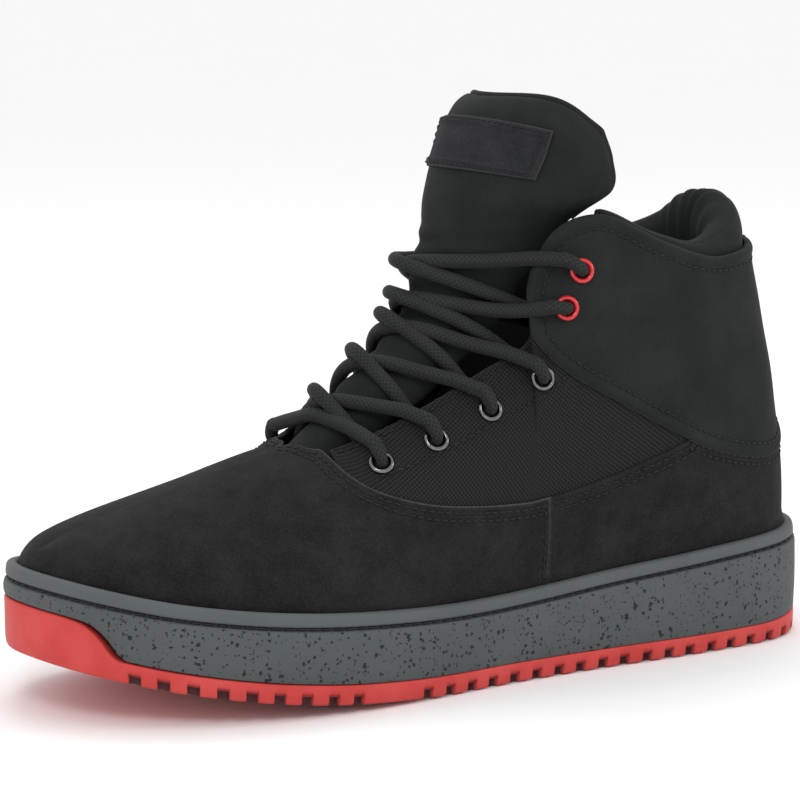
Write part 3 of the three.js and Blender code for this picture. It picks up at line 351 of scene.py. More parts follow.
# ------------------------------------------------------------------ meshes from arrays
class Skin:
    """Collects grids of points into one mesh, in millimetres."""

    def __init__(self) -> None:
        """Starts empty."""
        self.points: list[Array] = []
        self.normals: list[Array] = []
        self.uv: list[Array] = []
        self.faces: list[Array] = []
        self.data: list[dict[str, Array]] = []
        self.total = 0

    def grid(self, p: Array, uv: Array | None = None, normals: Array | None = None, flip: bool = False,
             loop_rows: bool = False, loop_cols: bool = False, **data: Array) -> "Skin":
        """Adds a grid of quads.

        Args:
            p: Points, rows by columns by 3.
            uv: Surface position of each point in metres, or none.
            normals: A direction for each point, used by thicken.
            flip: Turns the faces over.
            loop_rows: Joins the last row to the first.
            loop_cols: Joins the last column to the first.
            data: Named numbers for each point.
        Returns:
            This skin.
        """
        n, m = p.shape[:2]
        ids = self.total + np.arange(n * m).reshape(n, m)
        if loop_rows:
            ids = np.vstack([ids, ids[:1]])
        if loop_cols:
            ids = np.hstack([ids, ids[:, :1]])
        q = np.stack([ids[:-1, :-1], ids[1:, :-1], ids[1:, 1:], ids[:-1, 1:]], -1).reshape(-1, 4)
        self.faces.append(q[:, ::-1] if flip else q)
        self.points.append(p.reshape(-1, 3))
        self.uv.append(np.zeros((n * m, 2)) if uv is None else uv.reshape(-1, 2))
        self.normals.append(np.zeros((n * m, 3)) if normals is None else normals.reshape(-1, 3))
        self.data.append({k: np.broadcast_to(v, (n, m)).reshape(-1) for k, v in data.items()})
        self.total += n * m
        return self

    def stack(self) -> tuple[Array, Array, Array, Array, dict[str, Array]]:
        """All grids as single arrays: points, normals, uv, faces and data."""
        names = {k for d in self.data for k in d}
        sizes = [len(p) for p in self.points]
        data = {k: np.concatenate([d.get(k, np.zeros(n)) for d, n in zip(self.data, sizes)]) for k in names}
        return (np.concatenate(self.points), np.concatenate(self.normals), np.concatenate(self.uv),
                np.concatenate(self.faces), data)

    def weld(self, tolerance: float = 0.004) -> "Skin":
        """Joins points that coincide, so seams and poles are closed."""
        p, n, uv, f, data = self.stack()
        _, first, back = np.unique(np.round(p / tolerance).astype(np.int64), axis=0,
                                   return_index=True, return_inverse=True)
        back = back.reshape(-1)
        sums = np.zeros((len(first), 3))
        np.add.at(sums, back, n)
        self.points, self.normals, self.uv = [p[first]], [sums], [uv[first]]
        self.faces, self.data = [back[f]], [{k: v[first] for k, v in data.items()}]
        self.total = len(first)
        return self

    def thicken(self, inner: str, outer: str) -> "Skin":
        """Gives the sheet a wall between two named offsets along its normals, closed at its rim."""
        self.weld()
        p, n, uv, f, data = self.stack()
        n, count = unit(n), len(p)
        f = f[np.array([True] * len(f)) & ((f[:, 0] != f[:, 2]) & (f[:, 1] != f[:, 3]))]
        pairs = np.vstack([f[:, [i, (i + 1) % 4]] for i in range(4)])
        pairs = pairs[pairs[:, 0] != pairs[:, 1]]
        key, back = pairs[:, 0] * count + pairs[:, 1], pairs[:, 1] * count + pairs[:, 0]
        rim = pairs[~np.isin(key, back)]
        wall = np.stack([rim[:, 1], rim[:, 0], rim[:, 0] + count, rim[:, 1] + count], -1)
        self.points = [p + n * data[outer][:, None], p + n * data[inner][:, None]]
        self.uv, self.normals = [uv, uv], [n, -n]
        self.data = [data, {k: v * (k not in ("edge",)) for k, v in data.items()}]
        self.faces, self.total = [f, f[:, ::-1] + count, wall], 2 * count
        return self

    def build(self, name: str, material: bpy.types.Material, weld: bool = True) -> bpy.types.Object:
        """Makes the Blender object, in metres, smooth shaded, with faces outward.

        Args:
            name: The piece's name.
            material: Its material.
            weld: Whether to join points that coincide first.
        Returns:
            The new object.
        """
        if weld:
            self.weld(0.002)
        p, _, uv, f, data = self.stack()
        same = np.stack([f[:, i] == f[:, (i + 1) % 4] for i in range(4)], -1)
        drop = (same.sum(1) > 1) | (f[:, 0] == f[:, 2]) | (f[:, 1] == f[:, 3])
        f, same = f[~drop], same[~drop]
        quads, short = f[~same.any(1)], same.any(1)
        k = same[short].argmax(1)
        rows = np.arange(len(k))
        tris = np.stack([f[short][rows, (k + 1 + i) % 4] for i in range(3)], -1)
        t = np.vstack([quads[:, [0, 1, 2]], quads[:, [0, 2, 3]], tris])
        volume = (p[t[:, 0]] * np.cross(p[t[:, 1]], p[t[:, 2]])).sum()
        if volume < 0:
            quads, tris = quads[:, ::-1], tris[:, ::-1]
        loops = np.concatenate([quads.reshape(-1), tris.reshape(-1)]).astype(np.int32)
        sizes = np.concatenate([np.full(len(quads), 4), np.full(len(tris), 3)])
        mesh = bpy.data.meshes.new(name)
        mesh.vertices.add(len(p))
        mesh.vertices.foreach_set("co", (p * MM).astype(np.float32).reshape(-1))
        mesh.loops.add(len(loops))
        mesh.loops.foreach_set("vertex_index", loops)
        mesh.polygons.add(len(sizes))
        mesh.polygons.foreach_set("loop_start", np.r_[0, np.cumsum(sizes)[:-1]].astype(np.int32))
        mesh.polygons.foreach_set("use_smooth", np.ones(len(sizes), bool))
        layer = mesh.uv_layers.new(name="UVMap")
        layer.uv.foreach_set("vector", uv[loops].astype(np.float32).reshape(-1))
        for key, values in data.items():
            attribute = mesh.attributes.new(key, "FLOAT", "POINT")
            attribute.data.foreach_set("value", values.astype(np.float32))
        mesh.materials.append(material)
        mesh.update()
        mesh.validate()
        piece = bpy.data.objects.new(name, mesh)
        bpy.context.scene.collection.objects.link(piece)
        return piece


def place(piece: bpy.types.Object, slot: str, *nodes: str, body: Body = Body.SHOE) -> bpy.types.Object:
    """Hides the nodes a piece stands for, rides it on its body and logs it."""
    if nodes:
        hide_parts(*nodes)
    if body is not None:
        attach(piece, body.value)
    LOG.info("%s: %d faces", piece.name, len(piece.data.polygons))
    return piece


def path_frames(path: Array) -> tuple[Array, Array, Array]:
    """Two directions square to a path, carried along it without twist, and the distance walked."""
    t = unit(np.gradient(path, axis=0))
    x = np.zeros_like(path)
    ref = np.array([0.0, 0, 1]) if abs(t[0, 2]) < 0.8 else np.array([1.0, 0, 0])
    for i, direction in enumerate(t):
        ref = unit(ref - direction * (ref @ direction))
        x[i] = ref
    walked = np.r_[0, np.cumsum(np.linalg.norm(np.diff(path, axis=0), axis=1))]
    return x, np.cross(t, x), walked


def tube(path: Array, radius: Array | float, sides: int = 14, flat: float = 1.0) -> Skin:
    """A closed tube: circles of a radius carried along a path, drawn in to a point at both ends."""
    x, y, walked = path_frames(path)
    r = np.broadcast_to(np.asarray(radius, float), (len(path),)).copy()
    first, last = np.repeat(path[:1], 2, 0), np.repeat(path[-1:], 2, 0)
    path = np.vstack([first, path, last])
    x, y = np.vstack([x[:1], x[:1], x, x[-1:], x[-1:]]), np.vstack([y[:1], y[:1], y, y[-1:], y[-1:]])
    r = np.r_[0, r[0] * 0.8, r, r[-1] * 0.8, 0]
    walked = np.r_[walked[0], walked[0], walked, walked[-1], walked[-1]]
    angle = np.linspace(0, 2 * math.pi, sides, endpoint=False)
    p = (path[:, None] + x[:, None] * (r[:, None] * np.cos(angle))[..., None]
         + y[:, None] * (flat * r[:, None] * np.sin(angle))[..., None])
    uv = np.stack(np.broadcast_arrays(angle[None] / (2 * math.pi), walked[:, None] * MM), -1)
    return Skin().grid(p, uv, loop_cols=True)


def resample(path: Array, step: float) -> Array:
    """Points a step apart along a polyline."""
    walked = np.r_[0, np.cumsum(np.linalg.norm(np.diff(path, axis=0), axis=1))]
    at = np.linspace(0, walked[-1], max(2, int(round(walked[-1] / step)) + 1))
    return np.stack([np.interp(at, walked, path[:, k]) for k in range(path.shape[1])], -1)


def stitches(lines: Sequence[tuple[Array, Array]], pitch: float = 3.1, length: float = 2.3,
             width: float = 0.36) -> Skin:
    """Rows of thread: one small sunk capsule per stitch along each line.

    Args:
        lines: Pairs of points and normals along each seam.
        pitch: Distance from stitch to stitch.
        length: Length of the thread seen in each.
        width: Radius of the thread.
    Returns:
        One skin with every stitch.
    """
    skin = Skin()
    ring = np.linspace(0, 2 * math.pi, 6, endpoint=False)
    along = np.array([-1, -0.82, -0.35, 0.35, 0.82, 1.0])
    fat = np.array([0, 0.8, 1, 1, 0.8, 0])
    for points, normals in lines:
        both = resample(np.hstack([points, normals]), pitch)
        p, n = both[:, :3], unit(both[:, 3:])
        t = unit(np.gradient(p, axis=0))
        b = np.cross(n, t)
        arch = (1 - along ** 2) * 0.3
        body = (p[:, None] + t[:, None] * (along * length / 2)[None, :, None]
                + n[:, None] * (arch[None, :, None] + 0.05))
        rings = (body[:, :, None] + b[:, None, None] * (width * fat[:, None] * np.cos(ring))[None, ..., None]
                 + n[:, None, None] * (width * 0.9 * fat[:, None] * np.sin(ring))[None, ..., None])
        for one in rings:
            skin.grid(one, loop_cols=True)
    return skin


# ------------------------------------------------------------------ shader expressions
class Term:
    """A number that varies over a surface; Python operators on it add Math nodes."""

    def __init__(self, shader: "Shader", socket: Any) -> None:
        """Wraps one output socket of a shader's node tree."""
        self.shader, self.socket = shader, socket

    def _math(self, operation: str, *values: Any) -> "Term":
        """A Math node of one operation on values or sockets."""
        inputs = {i: v for i, v in enumerate(values)}
        node = self.shader.node("ShaderNodeMath", {"operation": operation}, inputs)
        return Term(self.shader, node.outputs[0])

    def __add__(self, o: Any) -> "Term":
        """Sum."""
        return self._math("ADD", self, o)

    def __sub__(self, o: Any) -> "Term":
        """Difference."""
        return self._math("SUBTRACT", self, o)

    def __rsub__(self, o: Any) -> "Term":
        """Difference from a number."""
        return self._math("SUBTRACT", o, self)

    def __mul__(self, o: Any) -> "Term":
        """Product."""
        return self._math("MULTIPLY", self, o)

    def __truediv__(self, o: Any) -> "Term":
        """Quotient."""
        return self._math("DIVIDE", self, o)

    def __rtruediv__(self, o: Any) -> "Term":
        """Quotient of a number."""
        return self._math("DIVIDE", o, self)

    def __pow__(self, o: Any) -> "Term":
        """Power."""
        return self._math("POWER", self, o)

    def __gt__(self, o: Any) -> "Term":
        """1 where greater, else 0."""
        return self._math("GREATER_THAN", self, o)

    def __lt__(self, o: Any) -> "Term":
        """1 where less, else 0."""
        return self._math("LESS_THAN", self, o)

    __radd__ = __add__
    __rmul__ = __mul__

    def sin(self) -> "Term":
        """Sine of the value in radians."""
        return self._math("SINE", self)

    def size(self) -> "Term":
        """The value without its sign."""
        return self._math("ABSOLUTE", self)

    def most(self, o: Any) -> "Term":
        """The greater of two."""
        return self._math("MAXIMUM", self, o)

    def ramp(self, low: float, high: float) -> "Term":
        """0 to 1 between two values, with flat ends."""
        node = self.shader.node("ShaderNodeMapRange", {"interpolation_type": "SMOOTHSTEP"},
                                {"Value": self, "From Min": low, "From Max": high})
        return Term(self.shader, node.outputs[0])


class Shader:
    """One material with a Principled surface, built from expressions."""

    def __init__(self, name: str, **fixed: Any) -> None:
        """Makes the material and sets what is the same all over on the surface's own sockets."""
        self.material = bpy.data.materials.new(name)
        self.material.use_nodes = True
        self.tree = self.material.node_tree
        self.tree.nodes.clear()
        values = {k.replace("_", " "): v for k, v in fixed.items()}
        self.surface = self.node("ShaderNodeBsdfPrincipled", {}, values)
        self.node("ShaderNodeOutputMaterial", {}, {"Surface": self.surface.outputs[0]})

    def node(self, kind: str, settings: dict[str, Any], inputs: dict[Any, Any]) -> Any:
        """Adds a node: its settings first, then the values or links of its sockets."""
        node = self.tree.nodes.new(kind)
        for key, value in settings.items():
            if key == "stops":
                for i, (at, color) in enumerate(value):
                    stop = node.color_ramp.elements[i] if i < 2 else node.color_ramp.elements.new(at)
                    stop.position, stop.color = at, color
            else:
                setattr(node, key, value)
        for key, value in inputs.items():
            socket = node.inputs[key]
            if isinstance(value, Term):
                self.tree.links.new(value.socket, socket)
            elif isinstance(value, bpy.types.NodeSocket):
                self.tree.links.new(value, socket)
            elif isinstance(value, tuple) and len(value) == 3 and socket.type == "RGBA":
                socket.default_value = (*value, 1)
            else:
                socket.default_value = value
        return node

    def place(self) -> Any:
        """The point's place on the object."""
        return self.node("ShaderNodeTexCoord", {}, {}).outputs["Object"]

    def axes(self, socket: Any) -> tuple[Term, Term, Term]:
        """The three numbers of a vector."""
        out = self.node("ShaderNodeSeparateXYZ", {}, {0: socket}).outputs
        return Term(self, out[0]), Term(self, out[1]), Term(self, out[2])

    def cloth(self) -> tuple[Term, Term]:
        """The surface position along the cloth, in metres."""
        u, v, _ = self.axes(self.node("ShaderNodeUVMap", {"uv_map": "UVMap"}, {}).outputs[0])
        return u, v

    def mark(self, name: str) -> Term:
        """A named number kept on the mesh."""
        return Term(self, self.node("ShaderNodeAttribute", {"attribute_name": name}, {}).outputs["Fac"])

    def noise(self, scale: float, detail: float = 3, rough: float = 0.5, where: Any = None) -> Term:
        """Cloudy noise of 0 to 1."""
        node = self.node("ShaderNodeTexNoise", {}, {"Vector": where or self.place(), "Scale": scale,
                                                    "Detail": detail, "Roughness": rough})
        return Term(self, node.outputs[0])

    def blend(self, factor: Any, a: Any, b: Any) -> Any:
        """Colour a where the factor is 0 and b where it is 1."""
        node = self.node("ShaderNodeMix", {"data_type": "RGBA", "clamp_factor": True}, {0: factor})
        for index, value in ((6, a), (7, b)):
            if isinstance(value, tuple):
                node.inputs[index].default_value = (*value, 1)
            else:
                self.tree.links.new(value, node.inputs[index])
        return node.outputs[2]

    def finish(self, color: Any = None, rough: Term | None = None, bump: Term | None = None,
               depth: float = 0.0003, strength: float = 1.0) -> bpy.types.Material:
        """Links what varies to the surface and returns the material."""
        if color is not None:
            self.tree.links.new(color, self.surface.inputs["Base Color"])
        if rough is not None:
            self.tree.links.new(rough.socket, self.surface.inputs["Roughness"])
        if bump is not None:
            node = self.node("ShaderNodeBump", {}, {"Height": bump, "Distance": depth, "Strength": strength})
            self.tree.links.new(node.outputs[0], self.surface.inputs["Normal"])
        return self.material


Color = tuple[float, float, float]


@dataclass(frozen=True)
class Suede:
    """Napped suede: cloudy brushed patches, short fibres and a paler cut edge."""

    dark: Color = (0.0065, 0.0065, 0.007)
    light: Color = (0.024, 0.0235, 0.0245)
    cut: Color = (0.085, 0.08, 0.075)

    def make(self, name: str) -> bpy.types.Material:
        """Builds the material."""
        s = Shader(name, Sheen_Weight=0.035, Sheen_Roughness=0.5, Sheen_Tint=(0.7, 0.7, 0.72),
                   Specular_IOR_Level=0.12)
        brushed = s.noise(34, 3, 0.6)
        patches = s.noise(130, 4, 0.65)
        fibre = s.noise(1500, 2, 0.7)
        mix = (brushed * 0.5 + patches * 0.5).ramp(0.34, 0.7) * 0.55 + fibre.ramp(0.35, 0.72) * 0.5
        color = s.blend(mix, self.dark, self.light)
        color = s.blend(s.mark("edge") * (0.55 + fibre * 0.5), color, self.cut)
        return s.finish(color, 0.82 + fibre * 0.15, fibre * 0.6 + patches * 0.9, 0.00035, 0.7)


@dataclass(frozen=True)
class Canvas:
    """Plain weave canvas: warp and weft go over each other by turns, a sine in each direction."""

    dark: Color = (0.006, 0.0062, 0.0066)
    light: Color = (0.03, 0.0305, 0.0315)
    yarn: float = 0.00085

    def make(self, name: str) -> bpy.types.Material:
        """Builds the material."""
        s = Shader(name, Sheen_Weight=0.02, Sheen_Roughness=0.4, Specular_IOR_Level=0.15)
        u, v = s.cloth()
        wobble = s.noise(260, 2) * 0.9
        k = math.pi / self.yarn
        a, b = (u * k + wobble).sin(), (v * k + wobble).sin()
        weave = (a * b) * 0.5 + 0.5
        slub = s.noise(700, 3, 0.6)
        color = s.blend(weave.ramp(0.1, 0.95) * (0.35 + slub * 0.8), self.dark, self.light)
        color = s.blend(s.mark("edge") * 0.5, color, (0.05, 0.05, 0.05))
        return s.finish(color, 0.78 + slub * 0.2, weave * 0.8 + slub * 0.5, 0.0003, 0.75)


@dataclass(frozen=True)
class Knit:
    """Fine backed knit: rows of small loops from sines of the place, with soft mottling."""

    dark: Color = (0.006, 0.0068, 0.0066)
    light: Color = (0.023, 0.026, 0.0252)
    loop: float = 0.00095

    def make(self, name: str) -> bpy.types.Material:
        """Builds the material."""
        s = Shader(name, Sheen_Weight=0.025, Sheen_Roughness=0.4, Sheen_Tint=(0.6, 0.7, 0.68),
                   Specular_IOR_Level=0.15)
        x, y, z = s.axes(s.place())
        k = 2 * math.pi / self.loop
        wobble = s.noise(180, 2) * 2.2
        rows = (z * k + (x * 0.5 + y * 0.5) * k * 0.35 + wobble).sin()
        across = ((x - y) * k * 0.75 + wobble).sin()
        loops = (rows * across) * 0.5 + 0.5
        soft = s.noise(55, 3, 0.6)
        grain = s.noise(1300, 2, 0.6)
        color = s.blend(loops * 0.45 + soft.ramp(0.3, 0.7) * 0.3 + grain * 0.25, self.dark, self.light)
        color = s.blend(s.mark("edge") * 0.4, color, (0.035, 0.038, 0.037))
        return s.finish(color, 0.72 + grain * 0.22, loops * 0.6 + grain * 0.5, 0.00025, 0.6)


@dataclass(frozen=True)
class SpeckledRubber:
    """Moulded grey rubber with black flecks of uneven size on its side wall, and painted shade in its groove.
    """

    base: Color = (0.062, 0.071, 0.072)
    pale: Color = (0.082, 0.092, 0.094)
    fleck: Color = (0.006, 0.007, 0.008)

    def flecks(self, s: Shader, scale: float, share: float, most: float) -> Term:
        """Flecks in a share of Voronoi cells, each with its own radius, rough at the rim."""
        warp = s.node("ShaderNodeTexNoise", {}, {"Vector": s.place(), "Scale": scale * 2.4, "Detail": 2})
        shift = s.node("ShaderNodeVectorMath", {"operation": "SCALE"},
                       {0: warp.outputs["Color"], "Scale": 0.9 / scale})
        where = s.node("ShaderNodeVectorMath", {"operation": "ADD"}, {0: s.place(), 1: shift.outputs[0]})
        cell = s.node("ShaderNodeTexVoronoi", {}, {"Vector": where.outputs[0], "Scale": scale})
        pick, radius, _ = s.axes(cell.outputs["Color"])
        near = Term(s, cell.outputs["Distance"])
        return (near < (radius * most + 0.06)) * (pick < share)

    def make(self, name: str) -> bpy.types.Material:
        """Builds the material."""
        s = Shader(name, Specular_IOR_Level=0.35)
        soft, grain = s.noise(40, 3), s.noise(2200, 2)
        spots = (self.flecks(s, 270, 0.4, 0.22).most(self.flecks(s, 500, 0.7, 0.3))
                 .most(self.flecks(s, 850, 0.4, 0.3))) * s.mark("side")
        color = s.blend(soft.ramp(0.3, 0.7) * 0.5 + s.mark("rand") * 0.6, self.base, self.pale)
        # Painted shade: the groove mark darkens the stitched groove and the inner top of the wall.
        color = s.blend(s.mark("groove") * 0.85, color, (0.012, 0.014, 0.016))
        color = s.blend(spots, color, self.fleck)
        return s.finish(color, 0.62 + grain * 0.12 - spots * 0.08, grain * 0.4 + soft * 0.3 - spots * 0.5,
                        0.00012, 0.5)


@dataclass(frozen=True)
class RedRubber:
    """Coral rubber with a faint mottle, and painted shade down in the notches."""

    base: Color = (0.49, 0.034, 0.03)
    pale: Color = (0.56, 0.055, 0.048)
    # Painted shade colour for the notch recesses.
    deep: Color = (0.055, 0.006, 0.008)

    def make(self, name: str) -> bpy.types.Material:
        """Builds the material."""
        s = Shader(name, Specular_IOR_Level=0.35)
        soft, grain = s.noise(70, 4), s.noise(2000, 2)
        color = s.blend(soft.ramp(0.3, 0.7), self.base, self.pale)
        # Painted shade: the notch mark darkens the notch recesses.
        color = s.blend(s.mark("notch"), color, self.deep)
        return s.finish(color, 0.5 + grain * 0.15, grain * 0.5 + soft * 0.3, 0.00015, 0.5)


@dataclass(frozen=True)
class Braid:
    """Round braided cord: two sets of strands wind opposite ways round the surface."""

    dark: Color = (0.004, 0.0043, 0.0046)
    light: Color = (0.027, 0.028, 0.029)
    strand: float = 0.0017
    turns: int = 8

    def make(self, name: str) -> bpy.types.Material:
        """Builds the material."""
        s = Shader(name, Sheen_Weight=0.03, Sheen_Roughness=0.4, Specular_IOR_Level=0.2)
        u, v = s.cloth()
        a, b = u * (2 * math.pi * self.turns), v * (2 * math.pi / self.strand)
        plait = ((a + b).sin().most((a - b).sin())) * 0.5 + 0.5
        fuzz = s.noise(1600, 2, 0.6)
        color = s.blend(plait * 0.7 + fuzz * 0.3, self.dark, self.light)
        return s.finish(color, 0.7 + fuzz * 0.2, plait + fuzz * 0.4, 0.0002, 0.7)


@dataclass(frozen=True)
class Plated:
    """Plated or enamelled metal with fine wear."""

    base: Color
    worn: Color
    metallic: float = 1.0
    rough: float = 0.2
    coat: float = 0.0

    def make(self, name: str) -> bpy.types.Material:
        """Builds the material."""
        s = Shader(name, Metallic=self.metallic, Coat_Weight=self.coat, Coat_Roughness=0.08)
        wear, fine = s.noise(420, 4, 0.7), s.noise(1800, 2)
        color = s.blend(wear.ramp(0.5, 0.75), self.base, self.worn)
        return s.finish(color, self.rough + wear * 0.12, fine * 0.3, 0.00005, 0.3)


@dataclass(frozen=True)
class Plain:
    """Foam, board, film or brushed cloth: a mottled colour with a fine grain."""

    base: Color
    other: Color
    scale: float = 900
    rough: float = 0.8

    def make(self, name: str) -> bpy.types.Material:
        """Builds the material."""
        s = Shader(name, Specular_IOR_Level=0.3)
        grain, soft = s.noise(self.scale, 3, 0.6), s.noise(90, 3)
        color = s.blend(grain * 0.6 + soft * 0.4, self.base, self.other)
        return s.finish(color, self.rough + grain * 0.1, grain, 0.0002, 0.5)


class Finish(Enum):
    """Every finish of the shoe."""

    SUEDE = Suede()
    PATCH = Suede((0.011, 0.0115, 0.0125), (0.032, 0.0325, 0.035), (0.05, 0.05, 0.052))
    CANVAS = Canvas()
    KNIT = Knit()
    THREAD = Plain((0.004, 0.004, 0.0043), (0.02, 0.02, 0.021), 1500, 0.6)
    SPECKLED = SpeckledRubber()
    RED_RUBBER = RedRubber()
    LACE = Braid()
    GUNMETAL = Plated((0.16, 0.16, 0.165), (0.3, 0.3, 0.3), 1.0, 0.1)
    RED_METAL = Plated((0.62, 0.018, 0.022), (0.7, 0.05, 0.05), 0.35, 0.18, 0.7)
    LINING = Plain((0.006, 0.0065, 0.0068), (0.022, 0.024, 0.0245), 1200, 0.82)
    FOAM = Plain((0.55, 0.55, 0.52), (0.7, 0.7, 0.67), 700, 0.8)
    BOARD = Plain((0.16, 0.12, 0.08), (0.32, 0.26, 0.18), 500, 0.85)
    TIP = Plain((0.006, 0.006, 0.007), (0.012, 0.012, 0.013), 600, 0.18)

    def material(self) -> bpy.types.Material:
        """The finish's material, made once."""
        name = f"{self.name.lower()}_finish"
        return bpy.data.materials.get(name) or self.value.make(name)


# ------------------------------------------------------------------ sole
@dataclass
class Sole:
    """Red outsole, grey cupsole with its stitched groove, tread plate and insole."""

    shape: SoleShape
    pitch: float = 9.4
    notch_wide: float = 3.95
    notch_deep: float = 2.6
    notch_tall: float = 2.96
    groove: float = 4.9

    def notch_places(self) -> Array:
        """Outline positions of the side notches, one pitch apart, none on the toe or the flex zone."""
        s = np.arange(0.9, self.shape.count - 0.9, 0.01)
        step = np.linalg.norm(self.shape.outline(s + 0.01) - self.shape.outline(s), axis=1)
        turns = np.floor((np.cumsum(step) + self.pitch / 2) / self.pitch)
        places = s[1:][np.diff(turns) > 0]
        x = self.shape.outline(places)[:, 0]
        return places[(x > -127) & (np.abs(x + 38) > 9)]

    def outsole(self) -> bpy.types.Object:
        """The red side band: a closed section swept round the outline, pushed in at each notch."""
        places = self.notch_places()
        walk = np.linspace(0, self.shape.count, 4001)
        far = np.r_[0, np.cumsum(np.linalg.norm(np.diff(self.shape.outline(walk), axis=0), axis=1))]
        centre = np.interp(places, walk, far)
        half = self.notch_wide / 2
        extra = (centre[:, None] + np.array([-half - 0.12, -half, half, half + 0.12])).reshape(-1)
        at = np.unique(np.round(np.r_[np.arange(0, far[-1] - 0.5, 1.3), extra], 3))
        s = np.interp(at, far, walk)
        d = np.abs(at[:, None] - centre[None]).min(1)
        cut = (d <= half + 0.01).astype(float)
        x = self.shape.outline(s)[:, 0]
        b, t = self.shape.bottom(x), self.shape.band(x)
        z1 = np.minimum(b + self.notch_tall, t - 0.6)
        o = np.zeros_like(b)
        deep = self.notch_deep * cut
        # The last entry of each row is the notch mark, painted shade in the recess: full low down, fading
        # towards the notch top.
        rows = [(o + 9, b + 0.1, o), (o + 3.4, b, o), (np.maximum(1.5, deep + 0.2), b + 0.1, cut),
                (np.maximum(0.7, deep), b + 0.5, cut), (0.25 + deep, (b + z1) / 2, cut),
                (0.15 + deep, z1 - 0.1, cut), (0.1 + deep * 0.35, z1, cut * 0.6),
                (0.05 + deep * 0.25, z1 + 0.9, cut * 0.25), (o + 0.05, z1 + 1.0, o), (o, (z1 + 1 + t) / 2, o),
                (o, t - 0.7, o), (o + 0.15, t - 0.25, o), (o + 0.6, t - 0.02, o), (o + 3, t, o),
                (o + 6.2, t, o), (o + 9, t - 1.5, o)]
        p = np.stack([np.concatenate([self.shape.inset(s, i), z[:, None]], 1) for i, z, _ in rows], 1)
        notch = np.stack([c for _, _, c in rows], 1)
        skin = Skin().grid(p, flip=True, loop_rows=True, loop_cols=True, notch=notch)
        return place(skin.build("outsole_band", Finish.RED_RUBBER.material()), "red_rubber", "outsole")

    def tread(self) -> bpy.types.Object:
        """The plate under the foot: strips from side to side, raised across the grooves."""
        s = np.linspace(0.35, 10.65, 420)
        left, right = self.shape.inset(s, 9.3), self.shape.inset(22 - s, 9.3)
        f = np.linspace(0, 1, 25)[None, :, None]
        xy = left[:, None] * (1 - f) + right[:, None] * f
        x = xy[..., 0]
        lines = np.array([-94, -80, -66, -52, -38, 22, 84, 100, 116.0])
        near = np.abs(x[..., None] - lines).min(-1)
        inside = smooth((0.5 - np.abs(f[..., 0] - 0.5)) * 12)
        low = self.shape.bottom(x) + 0.15 + 1.5 * smooth((2 - near) / 0.8) * inside
        high = self.shape.bottom(x) + 4.1
        edge = Skin().grid(np.concatenate([xy, low[..., None]], -1), flip=True)
        edge.grid(np.concatenate([xy, high[..., None]], -1))
        for k in (0, -1):
            side = np.stack([np.concatenate([xy[:, k], z[:, k, None]], 1) for z in (low, high)], 1)
            edge.grid(side, flip=k == 0)
            end = np.stack([np.concatenate([xy[k], z[k][:, None]], 1) for z in (low, high)], 1)
            edge.grid(end, flip=k == -1)
        return place(edge.build("tread_plate", Finish.RED_RUBBER.material()), "red_rubber")

    def cupsole(self) -> bpy.types.Object:
        """The grey wall: a closed section with a rounded rand, a groove and a soft side, swept round."""
        s = self.shape.columns(1.3)
        x = self.shape.outline(s)[:, 0]
        r = self.shape.rim(x)
        b = np.max([self.shape.band(x + k) for k in (-2, -1, 0, 1, 2)], 0) + 0.06
        o = np.zeros_like(r)
        g = r - self.groove
        tall = g - 1 - b
        # Each row is inset, height, then the side, groove and rand marks; the groove mark is painted shade,
        # in the stitched groove and down the inner top of the wall where the upper sits.
        rows = [(o + 7.2, b, o, o, o), (o + 0.35, b, o + 1, o, o), (o + 0.05, b + 0.35, o + 1, o, o),
                (o - 0.2, b + tall * 0.3, o + 1, o, o), (o - 0.25, b + tall * 0.6, o + 1, o, o),
                (o - 0.05, g - 1.9, o + 1, o, o), (o + 0.2, g - 1.0, o + 1, o, o),
                (o + 0.6, g - 0.62, o, o + 0.5, o), (o + 1.5, g - 0.5, o, o + 1, o),
                (o + 1.6, g + 0.4, o, o + 1, o), (o + 1.05, g + 0.55, o, o + 0.5, o + 0.5),
                (o + 0.65, g + 0.95, o, o, o + 1), (o + 0.6, g + 1.7, o, o, o + 1),
                (o + 0.8, r - 1.5, o, o, o + 1), (o + 1.05, r - 0.8, o, o, o + 1),
                (o + 1.45, r - 0.35, o, o, o + 1), (o + 2.1, r - 0.05, o, o, o + 1),
                (o + 3.2, r, o, o, o + 1), (o + 4.2, r - 0.25, o, o + 0.2, o + 1),
                (o + 4.6, r - 1.2, o, o + 0.8, o), (o + 4.7, r - 6.4, o, o + 1, o),
                (o + 7.2, r - 7.2, o, o, o)]
        p = np.stack([np.concatenate([self.shape.inset(s, i), z[:, None]], 1) for i, z, *_ in rows], 1)
        side, groove, rand = (np.stack([row[k] for row in rows], 1) for k in (2, 3, 4))
        skin = Skin().grid(p, flip=True, loop_rows=True, loop_cols=True, side=side, groove=groove, rand=rand)
        return place(skin.build("cupsole_wall", Finish.SPECKLED.material()), "grey_rubber", "cupsole")

    def groove_thread(self) -> bpy.types.Object:
        """Thread laid in the groove all round."""
        s = np.r_[self.shape.columns(2.0), self.shape.columns(2.0)[:1]]
        n = self.shape.outward(s)
        p = np.concatenate([self.shape.inset(s, 1.5), (self.shape.rim(self.shape.outline(s)[:, 0])
                                                       - self.groove - 0.05)[:, None]], 1)
        line = (p, np.concatenate([n, 0 * n[:, :1]], 1))
        skin = stitches([line], pitch=4.4, length=3.7, width=0.42)
        return place(skin.build("sole_stitching", Finish.THREAD.material(), weld=False), "grey_rubber")

